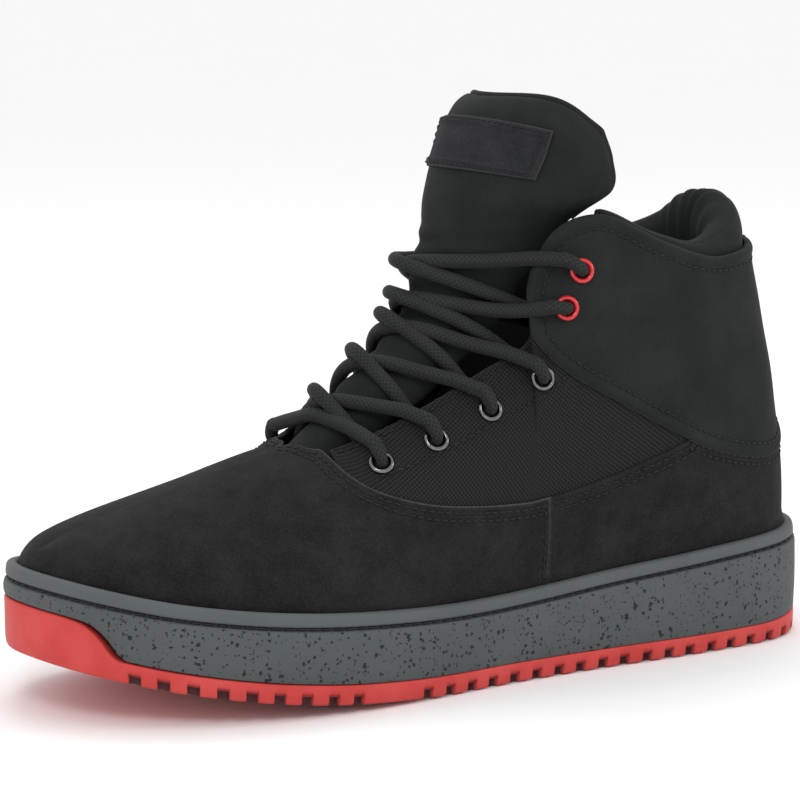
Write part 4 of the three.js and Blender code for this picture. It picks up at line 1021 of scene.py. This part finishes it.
    def insole(self) -> bpy.types.Object:
        """The footbed: a crowned cloth-topped sheet between two insets of the outline."""
        s = np.linspace(0, 11, 160)
        left, right = self.shape.inset(s, 17.6), self.shape.inset(22 - s, 17.6)
        f = np.linspace(0, 1, 41)
        xy = left[:, None] * (1 - f[None, :, None]) + right[:, None] * f[None, :, None]
        x = xy[..., 0]
        cup = 1.3 * np.abs(2 * f[None] - 1) ** 4
        high = self.shape.rim(x) - 0.7 + cup - 0.9
        low = self.shape.rim(x) - 5.2
        skin = Skin().grid(np.concatenate([xy, high[..., None]], -1), xy * MM)
        skin.grid(np.concatenate([xy, low[..., None]], -1), flip=True)
        for k in (0, -1):
            skin.grid(np.stack([np.concatenate([xy[:, k], z[:, k, None]], 1) for z in (low, high)], 1),
                      flip=k == 0)
        return place(skin.build("footbed", Finish.LINING.material()), "lining", "insole")

    def build(self) -> None:
        """Makes every piece of the sole."""
        self.outsole()
        self.tread()
        self.cupsole()
        self.groove_thread()
        self.insole()


# ------------------------------------------------------------------ panels of the upper
NEAR = np.array([0, 0.15, 0.4, 0.8, 1.3, 1.9, 2.4, 2.9, 3.5, 4.1, 4.7, 5.3, 6.0, 7.0, 8.5])


@dataclass
class Panel:
    """One cut panel of the upper, as a sheet between two seam lines with a wall and sewn edges.

    lo and hi give the seams as positions up the side. inner and outer are offsets from the
    shape's surface. free names the borders that show a cut or folded edge. rows gives, per
    border, the insets of its stitch rows, and roll the height and width of a folded hem.
    """

    name: str
    slot: str
    nodes: tuple[str, ...]
    finish: Finish
    sides: tuple[int, ...]
    span: tuple[float, float]
    lo: Callable[[int, Array], Array]
    hi: Callable[[int, Array], Array]
    outer: float
    inner: float = 0.15
    lap: float = 0.0
    lap_border: str = "hi"
    free: tuple[str, ...] = ("hi",)
    rows: dict[str, tuple[float, ...]] = field(default_factory=dict)
    roll: dict[str, tuple[float, float]] = field(default_factory=dict)
    raw: float = 0.5
    middle: int = 22
    step: float = 0.045
    soft: float = 0.0
    tuck: float = 0.0
    hi_until: float = 99.0
    hi_from: float = 0.0

    def heights(self, upper: UpperShape, side: int, u: Array) -> Array:
        """Positions up the side for each column: rows close together near both borders."""
        lo, hi = self.lo(side, u), self.hi(side, u)
        t = np.linspace(0, 1, 41)
        v = lo[:, None] + (hi - lo)[:, None] * t
        q = upper.surface(side, u[:, None], v)
        long = np.concatenate([np.zeros((len(u), 1)),
                               np.cumsum(np.linalg.norm(np.diff(q, axis=1), axis=2), 1)], 1)
        total = long[:, -1]
        near = NEAR[None] * np.minimum(1, 0.45 * total / NEAR[-1])[:, None]
        f = np.linspace(0, 1, self.middle + 2)[1:-1]
        mid = near[:, -1:] + (total[:, None] - 2 * near[:, -1:]) * f
        at = np.concatenate([near, mid, (total[:, None] - near)[:, ::-1]], 1)
        share = np.stack([np.interp(a, l, t) for a, l in zip(at, long)])
        return lo[:, None] + (hi - lo)[:, None] * share

    def borders(self, p: Array, n: Array, u: Array) -> dict[str, tuple[Array, Array]]:
        """The four border lines, with their normals."""
        top = (u <= self.hi_until) & (u >= self.hi_from)
        return {"hi": (p[top, -1], n[top, -1]), "lo": (p[:, 0], n[:, 0]), "rear": (p[0], n[0]),
                "front": (p[-1], n[-1])}

    def inset_line(self, border: tuple[Array, Array], d: float, cloud: Array, normals: Array,
                   lift: Array, clear: Array) -> tuple[Array, Array]:
        """A border line moved into the panel by d and laid on its outer face.

        Args:
            border: The border's points and normals.
            d: The inset.
            cloud: The panel's surface points.
            normals: Their normals.
            lift: The outer face's offset at each.
            clear: Distance of each from the nearest free border.
        Returns:
            Points and normals of the line, without its ends near other borders.
        """
        both = resample(np.hstack(border), 1.2)
        p, n = both[:, :3], unit(both[:, 3:])
        w = unit(np.cross(n, np.gradient(p, axis=0)))
        choices = [(p + w * d * sign) for sign in (1, -1)]
        found = [nearest(c, cloud) for c in choices]
        best = int(found[1][1].mean() < found[0][1].mean())
        c, index = choices[best], found[best][0]
        n = normals[index]
        on = c - n * ((c - cloud[index]) * n).sum(1, keepdims=True) + n * lift[index][:, None]
        keep = clear[index] > 0.75 * d
        return on[keep], n[keep]

    def build(self, upper: UpperShape) -> None:
        """Makes the panel and its rows of stitches."""
        skin, lines = Skin(), []
        for side in self.sides:
            u = np.linspace(*self.span, int((self.span[1] - self.span[0]) / self.step) + 2)
            v = self.heights(upper, side, u)
            p, n = upper.surface(side, u[:, None], v), upper.normal(side, u[:, None], v)
            flat, normals = p.reshape(-1, 3), n.reshape(-1, 3)
            border = self.borders(p, n, u)
            away = {k: nearest(flat, resample(b[0], 0.7))[1] for k, b in border.items()
                    if k in self.free or k in self.rows or k in self.roll or k == self.lap_border}
            free = np.min([away[k] for k in self.free], 0) if self.free else np.full(len(flat), 99.0)
            outer = np.full(len(flat), self.outer)
            for key, (height, width) in self.roll.items():
                outer += height * np.exp(-((away[key] - width * 0.5) / (width * 0.42)) ** 2)
            outer += self.soft * ripple(flat, 17.0) * smooth(free / 9)
            rim = upper.sole.rim(flat[:, 0])
            outer += self.tuck * smooth((6 - (flat[:, 2] - rim)) / 6)
            for key, insets in self.rows.items():
                for d in insets:
                    outer -= 0.28 * np.exp(-((away[key] - d) / 0.55) ** 2) * (free > d * 0.7)
            inner = self.inner + self.lap * smooth((8 - away.get(self.lap_border, free * 0 + 99)) / 2)
            round_off = self.raw + (1 - self.raw) * np.sqrt(1 - (1 - np.clip(free / 1.1, 0, 1)) ** 2)
            outer = inner + (outer - inner) * round_off
            shape = p.shape[:2]
            middle = np.diff(p[:, shape[1] // 2], axis=0)
            along = np.concatenate([[0], np.cumsum(np.linalg.norm(middle, axis=1))])
            up = np.concatenate([np.zeros((shape[0], 1)),
                                 np.cumsum(np.linalg.norm(np.diff(p, axis=1), axis=2), 1)], 1)
            uv = np.stack([np.broadcast_to(along[:, None], shape), up], -1) * MM
            skin.grid(p, uv, n, flip=side < 0, inner=inner.reshape(shape), outer=outer.reshape(shape),
                      edge=(smooth(1 - free / 0.75)).reshape(shape))
            for key, insets in self.rows.items():
                for d in insets:
                    line = self.inset_line(border[key], d, flat, normals, outer, free)
                    if len(line[0]) > 3:
                        lines.append(line)
        place(skin.thicken("inner", "outer").build(self.name, self.finish.material(), weld=False),
              self.slot, *self.nodes)
        if lines:
            thread = stitches(lines).build(f"{self.name}_thread", Finish.THREAD.material(), weld=False)
            place(thread, self.slot)


@dataclass
class Upper:
    """The sewn panels, the lining and the padded collar."""

    shape: UpperShape

    def low(self, _side: int, u: Array) -> Array:
        """The foot of the upper."""
        return 0 * u

    def top(self, _side: int, u: Array) -> Array:
        """The top line of the upper."""
        return 0 * u + 1

    def heel_top(self, side: int, u: Array) -> Array:
        """Top of the heel suede: under the ankle panel, then along the canvas."""
        under = self.shape.at_height(side, u, self.shape.ankle_height(u) + 2.5)
        seam = np.where(u < 3.6, 1.0, self.shape.seam_v(side, u))
        return np.minimum(under, seam)

    def canvas_low(self, side: int, u: Array) -> Array:
        """Foot of the canvas, 4 mm under the suede."""
        return self.shape.at_height(side, u, self.shape.seam_height(np.minimum(u, 11.7)) - 4)

    def canvas_top(self, side: int, u: Array) -> Array:
        """Top of the canvas: 3 mm under the ankle panel, then the eyestay edge."""
        under = self.shape.at_height(side, u, self.shape.ankle_height(u) + 3)
        return under + (1 - under) * smooth((u - 7.2) / 0.35)

    def lining_top(self, _side: int, u: Array) -> Array:
        """Top of the lining, below the padding and the eyelets."""
        line = Profile(((0, 0.66), (5, 0.66), (6, 0.66), (7, 0.6), (8, 0.7), (9, 0.72), (11, 0.7),
                        (12, 0.72), (13, 0.86), (13.5, 1.0)))
        return line(u)

    def panels(self) -> list[Panel]:
        """Every panel, inside to outside."""
        both = (-1, 1)
        items = [
            Panel("lining_cloth", "lining", ("lining",), Finish.LINING, both, (0, NS), self.low,
                  self.lining_top, -3.4, -4.3, free=("hi",), raw=0.4, hi_until=13.6, step=0.09, middle=14),
            Panel("toe_suede", "suede", ("vamp",), Finish.SUEDE, both, (6.77, NS), self.low,
                  self.shape.seam_v, 2.45, lap=1.25, free=("hi", "rear"),
                  rows={"hi": (2.3, 4.8), "rear": (2.0,)}, hi_until=THROAT, tuck=0.75, middle=34, raw=0.62),
            Panel("heel_suede", "suede", ("heel_panel",), Finish.SUEDE, both, (0, 6.73), self.low,
                  self.heel_top, 2.2, lap=0.0, free=("front",), rows={"hi": (2.3, 4.8)}, tuck=0.75, raw=0.4)]
        for side, word in ((-1, "lateral"), (1, "medial")):
            items += [
                Panel(f"canvas_{word}", "canvas", (f"quarter_{word}",), Finish.CANVAS, (side,), (3.55, 11.8),
                      self.canvas_low, self.canvas_top, 1.3, free=("hi", "front"), soft=0.12,
                      rows={"hi": (2.6, 17.6)}, roll={"hi": (0.35, 2.2)}, hi_from=8.0, raw=0.45),
                Panel(f"ankle_{word}", "textile", (f"ankle_panel_{word}",), Finish.KNIT, (side,),
                      (0.3, 7.32), self.shape.ankle_v, self.top, 2.2, lap=1.25, lap_border="lo",
                      free=("hi", "lo", "front"),
                      rows={"hi": (5.2,), "lo": (5.0,)}, roll={"hi": (0.8, 4.0), "lo": (0.8, 4.0)},
                      soft=0.3, raw=0.4, step=0.04)]
        items.append(Panel("heel_strip", "textile", ("heel_stay",), Finish.KNIT, both, (0, 0.4),
                           self.shape.ankle_v, self.top, 3.6, 2.35, free=("hi", "lo", "front"),
                           rows={"front": (1.6,)}, raw=0.3))
        return items

    def collar_ring(self, side: int, u: Array) -> Array:
        """Twelve knots round the padding at each u: down the panel, over the top and down inside."""
        rise = Profile(((0, 17), (1, 16), (2, 10.5), (3, 5.5), (4, 3), (5, 1.6)))(u)
        deep = Profile(((0, 19), (1, 17), (2, 13.5), (3, 11), (4, 7.5), (5, 6)))(u)
        top = self.shape.surface(side, u, 1.0)
        n = self.shape.normal(side, u, 0.97)
        flat = unit(n * np.array([1, 1, 0]))

        def under(z: float, d: float) -> Array:
            """A knot z below the top line and d of the depth inside the panel."""
            v = self.shape.at_height(side, u, top[:, 2] - z)
            return self.shape.surface(side, u, v) - self.shape.normal(side, u, v) * (0.7 + d * deep)[:, None]

        def over(z: float, d: float) -> Array:
            """A knot z of the rise above the top line."""
            return top - flat * (0.9 + d * deep)[:, None] + np.array([0, 0, 1]) * (z * rise)[:, None]

        return np.stack([under(34, 0), under(18, 0), under(3, 0), over(0.35, -0.02), over(0.8, 0.14),
                         over(1, 0.45), over(0.87, 0.8), over(0.3, 1), under(8, 1), under(20, 0.95),
                         under(30, 0.7), under(37, 0.3)], 1)

    def collar(self) -> bpy.types.Object:
        """The padded roll: closed curves through the knots, with gathers over the heel."""
        u = np.linspace(0, 4.9, 130)
        knots = np.concatenate([self.collar_ring(-1, u[::-1]), self.collar_ring(1, u[1:])])
        place_u = np.r_[-u[::-1], u[1:]]
        t = np.arange(96) / 8
        looped = np.concatenate([knots[:, -1:], knots, knots[:, :3]], 1)
        table_rows = np.swapaxes(looped, 0, 1)
        table = table_rows.reshape(len(table_rows), -1)
        p = np.swapaxes(catmull(table, t + 1).reshape(len(t), -1, 3), 0, 1)
        centre = p.mean(1, keepdims=True)
        out = unit(p - centre)
        ring = t[None] / 12
        heel = np.exp(-(place_u[:, None] / 1.7) ** 4)
        inner = np.exp(-((ring - 0.55) / 0.13) ** 2)
        gather = np.sin(place_u[:, None] * 11 + 3 * np.sin(ring * 9) + 1.2 * place_u[:, None] ** 2)
        p = p + out * (heel * inner * (1.0 * gather - 0.6))[..., None]
        p = p + out * (0.35 * ripple(p, 9.0, 0.6))[..., None]
        seam = np.exp(-((ring - 0.36) / 0.006) ** 2)
        p = p - out * (0.7 * seam)[..., None]
        ends = []
        for k, towards in ((0, p[0] - p[1]), (-1, p[-1] - p[-2])):
            mid = p[k].mean(0)
            steps = [(math.cos(a), math.sin(a)) for a in np.linspace(0.3, math.pi / 2, 5)]
            ends.append(np.stack([mid + (p[k] - mid) * c + unit(towards.mean(0)) * 2.6 * e
                                  for c, e in steps]))
        p = np.concatenate([ends[0][::-1], p, ends[1]])
        skin = Skin().grid(p, loop_cols=True)
        piece = skin.build("collar_pad", Finish.KNIT.material())
        return place(piece, "textile", "collar_padding")

    def build(self) -> None:
        """Makes the panels, then the collar."""
        for item in self.panels():
            item.build(self.shape)
        self.collar()


# ------------------------------------------------------------------ tongue
@dataclass
class Tongue:
    """The padded tongue, its bound edge, its stitched border and its patch."""

    shape: TongueShape
    crown: float = 0.55

    def end(self, q: Array) -> Array:
        """The rounded top edge."""
        return 13 - 1.15 * np.abs(q) ** 4.5

    def pad(self) -> bpy.types.Object:
        """One stuffed body: a flattened ring at each position up the tongue, closed at both ends."""
        rows, around = 190, 96
        t = np.linspace(0, 1, rows)[:, None]
        angle = np.linspace(0, 2 * math.pi, around, endpoint=False)[None]
        q = np.cos(angle) * np.ones_like(t)
        a = t * self.end(q)
        face = np.sign(np.sin(angle)) * np.abs(np.sin(angle)) ** self.crown
        close = np.sqrt(np.clip(1 - np.clip((t - 0.955) / 0.045, 0, 1) ** 2, 0, 1))
        open_ = np.sqrt(np.clip(1 - (1 - np.clip(t / 0.01, 0, 1)) ** 2, 0, 1))
        thick = self.shape.row(a)[..., 4] * close * open_
        off = -0.5 * thick * (1 - face)
        lift = -0.5 * self.shape.row(a)[..., 4] * (1 - close) - 0.5 * self.shape.row(a)[..., 4] * (1 - open_)
        n = self.shape.normal(a, q)
        p = self.shape.point(a, q)
        laced = smooth((a - 2.5) / 1.5) * smooth((9.6 - a) / 1.0)
        front = (np.sin(angle) > 0) * np.abs(np.sin(angle))
        pucker = np.sin(a * 9.2 + 1.3 * np.sin(2.4 * q) + 0.6 * np.sin(a * 2.1)) * (1 - 0.5 * q * q)
        free = smooth((a - 9) / 1.5)
        swell = 0.55 * laced * pucker * front + 0.5 * free * ripple(p, 15.0, 0.3) * front
        line = np.exp(-((1 - np.abs(q)) / 0.035 - 2.4) ** 2) * smooth((a - 9.3) / 0.5) * front
        p = p + n * (off + lift + swell - 0.35 * line)[..., None]
        skin = Skin().grid(p, loop_cols=True)
        piece = skin.build("tongue_pad", Finish.KNIT.material())
        place(piece, "textile", "tongue_base", "tongue_top", body=None)
        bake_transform(piece)
        return piece

    def binding(self) -> bpy.types.Object:
        """A folded tape round the free edge: a tube along the edge of the tongue."""
        over = np.sin(np.linspace(-math.pi / 2, math.pi / 2, 160))
        q = np.concatenate([np.full(60, -1.0), over, np.full(60, 1.0)])
        up = np.linspace(9.2, self.end(np.array(1.0)), 60)
        a = np.concatenate([up, self.end(q[60:220]), up[::-1]])
        thick = self.shape.row(a)[..., 4]
        mid = self.shape.point(a, q) - self.shape.normal(a, q) * (thick * 0.5)[:, None]
        piece = tube(resample(mid, 1.0), 1.5, 14).build("tongue_binding", Finish.KNIT.material())
        return place(piece, "textile", body=Body.FLAP)

    def patch(self) -> bpy.types.Object:
        """The sewn patch: a thin panel with a raised frame, drooping a little to the sides."""
        t, q = np.linspace(0, 1, 44)[:, None], np.linspace(-0.62, 0.5, 90)[None]
        q = q - 0.06 * t * smooth(-q / 0.62)
        a = 10.9 + 1.33 * t - 0.7 * q * q
        p, n = self.shape.point(a, q), self.shape.normal(a, q)
        sides = np.concatenate([p[0], p[-1], p[:, 0], p[:, -1]])
        away = nearest(p.reshape(-1, 3), sides)[1].reshape(p.shape[:2])
        frame = 0.55 * np.exp(-((away - 2.3) / 0.8) ** 2)
        face = 1.1 - 0.25 * smooth((away - 2.6) / 0.8) + frame + 0.05 * ripple(p, 2.5)
        outer = 0.4 + (face - 0.4) * (0.5 + 0.5 * np.sqrt(1 - (1 - np.clip(away / 0.9, 0, 1)) ** 2))
        skin = Skin().grid(p, normals=n, inner=0 * away - 0.2, outer=outer, edge=smooth(1 - away / 0.7))
        piece = skin.thicken("inner", "outer").build("tongue_patch", Finish.PATCH.material(), weld=False)
        place(piece, "patch", "tongue_label", body=Body.FLAP)
        inset = (3, -4), (4, -5)
        loops = []
        for row in inset[0]:
            loops.append((p[row, 4:-4] + n[row, 4:-4] * 1.25, n[row, 4:-4]))
        for col in inset[1]:
            loops.append((p[3:-3, col] + n[3:-3, col] * 1.25, n[3:-3, col]))
        thread = stitches(loops, 2.6, 1.9, 0.3).build("tongue_patch_thread", Finish.THREAD.material(),
                                                      weld=False)
        place(thread, "patch", body=Body.FLAP)
        return piece

    def build(self) -> None:
        """Makes every piece of the tongue."""
        self.pad()
        self.binding()
        self.patch()


# ------------------------------------------------------------------ eyelets and lace
EDGE_U = np.array([11, 10.1, 9.25, 8.32, 7.45, 6.35])
EXTRA = np.array([0, 0, 0, 0, -0.5, 2.5])


@dataclass
class Eyelet:
    """One eyelet: its centre, frame, and the nearest point of the eyestay edge."""

    centre: Array
    normal: Array
    towards: Array
    edge: Array
    edge_normal: Array
    base: float
    index: int

    def near(self, f: float, d: float) -> Array:
        """A point part of the way to the edge, at an offset from the panel."""
        n = unit(self.normal * (1 - f) + self.edge_normal * f)
        return self.centre * (1 - f) + self.edge * f + n * (d + (3.2 if d > 0 else 0.4) * f * (1 - f))


@dataclass
class Lacing:
    """The eyelets and the one lace through them, laid over each edge into the next pair."""

    upper: UpperShape
    tongue: TongueShape
    radius: float = 2.45
    thin: float = 1.9
    lift: float = 0.25

    def row(self, side: int) -> list[Eyelet]:
        """Eyelets of one side, toe to top: a walk into the panel square to its edge."""
        shift = np.where(np.arange(6) < 4, 0.33, 0.2) if side > 0 else np.zeros(6)
        u0, deep = EDGE_U + shift, 12.5 + EXTRA
        edge = self.upper.surface(side, u0, 1.0)
        along = unit(self.upper.surface(side, u0 + 0.1, 1.0) - self.upper.surface(side, u0 - 0.1, 1.0))
        u, v, n = u0.copy(), np.full(6, 0.985), edge.copy()
        for _ in range(400):
            go = np.linalg.norm(n - edge, axis=1) < deep
            if not go.any():
                break
            v = v - 0.0015 * go
            n = self.upper.surface(side, u, v)
            off = ((n - edge) * along).sum(1)
            pace = np.linalg.norm(self.upper.surface(side, u + 0.05, v)
                                  - self.upper.surface(side, u - 0.05, v), axis=1) / 0.1
            u = u - off / pace * 0.5 * go
            n = self.upper.surface(side, u, v)
        normal, edge_normal = self.upper.normal(side, u, v), self.upper.normal(side, u0, np.full(6, 0.99))
        out = []
        for k in range(6):
            b = unit(np.cross(normal[k], unit(edge[k] - n[k])))
            out.append(Eyelet(n[k], normal[k], unit(np.cross(b, normal[k])), edge[k], edge_normal[k],
                              1.3 if k < 4 else 2.2, k))
        return out

    def eyelet(self, e: Eyelet, side: int) -> bpy.types.Object:
        """A rolled metal ring: a rounded section turned about the eyelet's axis."""
        top, b, f = e.base + 0.55, 2.5, 4.35
        section = np.array([[b, -0.5], [b, top - 0.1], [b + 0.1, top + 0.45], [b + 0.4, top + 0.85],
                            [b + 0.85, top + 1.05], [b + 1.3, top + 0.95], [f - 0.15, top + 0.55],
                            [f, top + 0.1], [f - 0.12, top - 0.15], [3.0, top - 0.2], [2.9, -0.5]])
        angle = np.linspace(0, 2 * math.pi, 44, endpoint=False)
        y = np.cross(e.normal, e.towards)
        r = section[None, :, 0, None]
        p = (e.centre + r * (np.cos(angle)[:, None, None] * e.towards + np.sin(angle)[:, None, None] * y)
             + section[None, :, 1, None] * e.normal)
        word = "lateral" if side < 0 else "medial"
        metal = Finish.GUNMETAL if e.index < 4 else Finish.RED_METAL
        skin = Skin().grid(p, loop_rows=True, loop_cols=True)
        piece = skin.build(f"ring_{word}_{e.index + 1}", metal.material())
        return place(piece, "gunmetal" if e.index < 4 else "red_metal", f"eyelet_{word}_{e.index + 1}")

    def through(self, e: Eyelet) -> list[Array]:
        """Knots of the cord over the edge, in through the eyelet and back out under the edge."""
        r, top, n, t = self.radius, e.base + 1.5, e.normal, e.towards
        proud, deep = (1.6 if e.index == 4 else 0.3), (3.4 if e.index == 3 else 2.7)
        knots = [(e.near(1, e.base + r + 0.3 + proud) + t * 0.8, r),
                 (e.near(0.72, e.base + r + 0.5 + proud), r),
                 (e.near(0.4, top + r + 0.5 + proud * 0.3), r),
                 (e.centre + n * (top + 2.1) + t * 1.6, r * 0.94),
                 (e.centre + n * (top + 0.5), self.thin), (e.centre + n * e.base * 0.4, self.thin),
                 (e.centre - n * 1.2, self.thin),
                 (e.centre - n * (r + 1.7) + t * (0.2 if e.index == 3 else 1.3), r * 0.85),
                 (e.near(0.4, -r - deep), r), (e.near(0.75, -r - deep + 0.5), r),
                 (e.near(1, -r - 2) + t * 2, r)]
        return [np.r_[p, w] for p, w in knots]

    def taut(self, starts: Array, ends: Array, lifted: Array) -> Array:
        """Strands pulled tight over the tongue: each settles as short as the tongue lets it.

        Args:
            starts: Two points under the edge that each strand leaves.
            ends: Three points over the edge that it meets.
            lifted: 1 for a strand that passes over the one it meets halfway.
        Returns:
            The strands' points, one row per strand.
        """
        a, q = np.meshgrid(np.linspace(1.5, 11, 150), np.linspace(-1, 1, 61), indexing="ij")
        cloud, normals = self.tongue.point(a, q).reshape(-1, 3), self.tongue.normal(a, q).reshape(-1, 3)
        u = np.arange(6, 12.6, 0.03)
        edge = np.concatenate([self.upper.surface(side, u, 1.0) + self.upper.normal(side, u, 0.99) * 0.8
                               for side in (-1, 1)])
        f = np.linspace(0, 1, 27)[None, :, None]
        p = np.concatenate([starts[:, :1], starts[:, 1:] * (1 - f) + ends[:, :1] * f, ends[:, 1:]], 1)
        count = 36
        even = [resample(line, 2.2) for line in p]
        p = np.stack([line[np.linspace(0, len(line) - 1, count).round().astype(int)] for line in even])
        share = np.linspace(0, 1, count)[None, :, None]
        ease = smooth(np.minimum(share, 1 - share)[..., 0] / 0.2)
        for turn in range(120):
            if turn % 6 == 0:
                index = nearest(p.reshape(-1, 3), cloud)[0]
                c, n = cloud[index].reshape(p.shape), normals[index].reshape(p.shape)
            p[:, 1:-1] += 0.5 * (0.5 * (p[:, :-2] + p[:, 2:]) - p[:, 1:-1])
            lip = edge[nearest(p.reshape(-1, 3), edge)[0]].reshape(p.shape)
            away = np.linalg.norm(p - lip, axis=-1, keepdims=True)
            p[:, 1:-1] += ((p - lip) / away * np.maximum(self.radius + 0.9 - away, 0))[:, 1:-1]
            hump = lifted[:, None] * smooth(1 - (np.abs(p[..., 1]) - 2.5) / 9)
            need = (self.radius + self.lift) * ease + hump * 1.95 * self.radius
            short = np.maximum(need - ((p - c) * n).sum(-1), 0) * (ease > 0)
            p[:, 1:-1] += (n * short[..., None])[:, 1:-1]
        return p

    def half(self, rows: dict[int, list[Eyelet]], start: int) -> tuple[list[list[Array]], int]:
        """The knots at each eyelet from the first of one side to the last, changing side each time."""
        sides = [start * (-1) ** k for k in range(6)]
        return [self.through(rows[side][k]) for k, side in enumerate(sides)], sides[-1]

    def tail(self, side: int) -> list[Array]:
        """The loose end, tucked down between the ankle panel and the tongue."""
        out = []
        for u, z, d in ((5.75, 145, 4.4), (5.4, 140, 4.0), (5.3, 134, 3.9), (5.3, 127, 3.9), (5.3, 121, 3.9)):
            uu = np.array([float(u)])
            v = self.upper.at_height(side, uu, np.array([float(z)]))
            p = self.upper.surface(side, uu, v)[0] - self.upper.normal(side, uu, v)[0] * d
            out.append(np.r_[p, self.radius])
        return out

    def lace(self, rows: dict[int, list[Eyelet]]) -> bpy.types.Object:
        """The braided cord: a Catmull-Rom curve through all the knots, as a tube."""
        (a, a_side), (b, b_side) = self.half(rows, -1), self.half(rows, 1)
        pairs = [(x[k][-2:], x[k + 1][:3], float((k % 2 == 0) == up)) for x, up in ((a, True), (b, False))
                 for k in range(5)] + [(b[0][2:0:-1], a[0][:3], 0.0)]
        strands = self.taut(*(np.array([pair[i] for pair in pairs])[..., :3] for i in (0, 1)),
                            np.array([pair[2] for pair in pairs]))
        runs = [[np.r_[p, self.radius] for p in strand[1:-1:2]] for strand in strands]
        first, second = a[0][2:-1], b[0][2:-1]
        for k in range(5):
            first = first + runs[k] + a[k + 1][2:-1]
            second = second + runs[5 + k] + b[k + 1][2:-1]
        knots = np.array(self.tail(b_side)[::-1] + second[::-1] + runs[10] + first + self.tail(a_side))
        table = np.vstack([2 * knots[0] - knots[1], knots, 2 * knots[-1] - knots[-2], knots[-1:]])
        fine = catmull(table, np.linspace(0, len(knots) - 1, (len(knots) - 1) * 8 + 1) + 1)
        path = resample(fine, 1.0)
        piece = tube(path[:, :3], path[:, 3], 18).build("lace_cord", Finish.LACE.material())
        LOG.info("lace length %.0f mm", np.linalg.norm(np.diff(path[:, :3], axis=0), axis=1).sum())
        return place(piece, "cord", "lace")

    def build(self) -> None:
        """Makes the lace, then the eyelets."""
        rows = {side: self.row(side) for side in (-1, 1)}
        self.lace(rows)
        for side, items in rows.items():
            for e in items:
                self.eyelet(e, side)


# ------------------------------------------------------------------ stage
@dataclass
class Stage:
    """Floor, lights and camera."""

    azimuth: float = -30.0
    elevation: float = 9.0
    distance: float = 1.0
    lens: float = 130.3
    target: tuple[float, float, float] = (0.0, 0.0, 0.08)

    def camera(self) -> None:
        """The camera, looking at the target from its azimuth and elevation."""
        a, e = math.radians(self.azimuth), math.radians(self.elevation)
        back = Vector((math.sin(a) * math.cos(e), -math.cos(a) * math.cos(e), math.sin(e)))
        data = bpy.data.cameras.new("camera")
        data.lens, data.shift_x, data.shift_y = self.lens, -0.02375, 0.0425
        camera = bpy.data.objects.new("camera", data)
        camera.location = Vector(self.target) + back * self.distance
        camera.rotation_euler = (-back).to_track_quat("-Z", "Y").to_euler()
        bpy.context.scene.collection.objects.link(camera)
        bpy.context.scene.camera = camera

    def light(self, name: str, where: tuple[float, float, float], size: float, power: float) -> None:
        """A square soft light aimed at the shoe."""
        data = bpy.data.lights.new(name, "AREA")
        data.size, data.energy = size, power
        lamp = bpy.data.objects.new(name, data)
        lamp.location = where
        lamp.rotation_euler = (Vector(self.target) - Vector(where)).to_track_quat("-Z", "Y").to_euler()
        bpy.context.scene.collection.objects.link(lamp)

    def build(self) -> None:
        """Makes the floor, the sky and three lights."""
        bpy.context.scene.view_settings.view_transform = "Standard"
        world = bpy.data.worlds.new("studio")
        bpy.context.scene.world = world
        world.use_nodes = True
        world.node_tree.nodes["Background"].inputs[0].default_value = (1, 1, 1, 1)
        world.node_tree.nodes["Background"].inputs[1].default_value = 0.97
        self.light("key", (-0.9, -1.1, 1.3), 0.5, 7)
        self.light("side", (1.2, -0.8, 0.7), 0.4, 2.2)
        self.light("top", (0.1, 0.5, 1.6), 0.6, 4)
        size = 60.0
        floor = bpy.data.meshes.new("floor")
        corners = [(-size, -size, 0), (size, -size, 0), (size, size, 0), (-size, size, 0)]
        floor.from_pydata(corners, [], [(0, 1, 2, 3)])
        shader = Shader("floor_paint", Roughness=0.9, Specular_IOR_Level=0.1)
        soft = shader.noise(3, 2)
        floor.materials.append(shader.finish(shader.blend(soft, (0.96, 0.96, 0.96), (0.98, 0.98, 0.98))))
        piece = bpy.data.objects.new("floor", floor)
        piece.location = (0, 0, -0.0003)
        bpy.context.scene.collection.objects.link(piece)


def dress(frame: dict[str, Any]) -> None:
    """Gives the nodes that stay as they are, inside the shoe, their finishes."""
    kept = {"midsole_foam": Finish.FOAM, "lasting_board": Finish.BOARD, "toe_puff": Finish.BOARD,
            "heel_counter": Finish.BOARD, "aglet_medial": Finish.TIP, "aglet_lateral": Finish.TIP}
    for name, finish in kept.items():
        frame["nodes"][name].material_slots[0].material = finish.material()
        LOG.info("%s: kept, %s", name, finish.name.lower())


def main() -> None:
    """Builds the shoe piece by piece."""
    logging.basicConfig(level=logging.INFO, format="%(name)s: %(message)s")
    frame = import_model()
    Stage().camera()
    sole = SoleShape()
    upper, tongue = UpperShape(sole), TongueShape()
    Sole(sole).build()
    Upper(upper).build()
    Tongue(tongue).build()
    Lacing(upper, tongue).build()
    dress(frame)
    Stage().build()


if __name__ == "__main__":
    main()
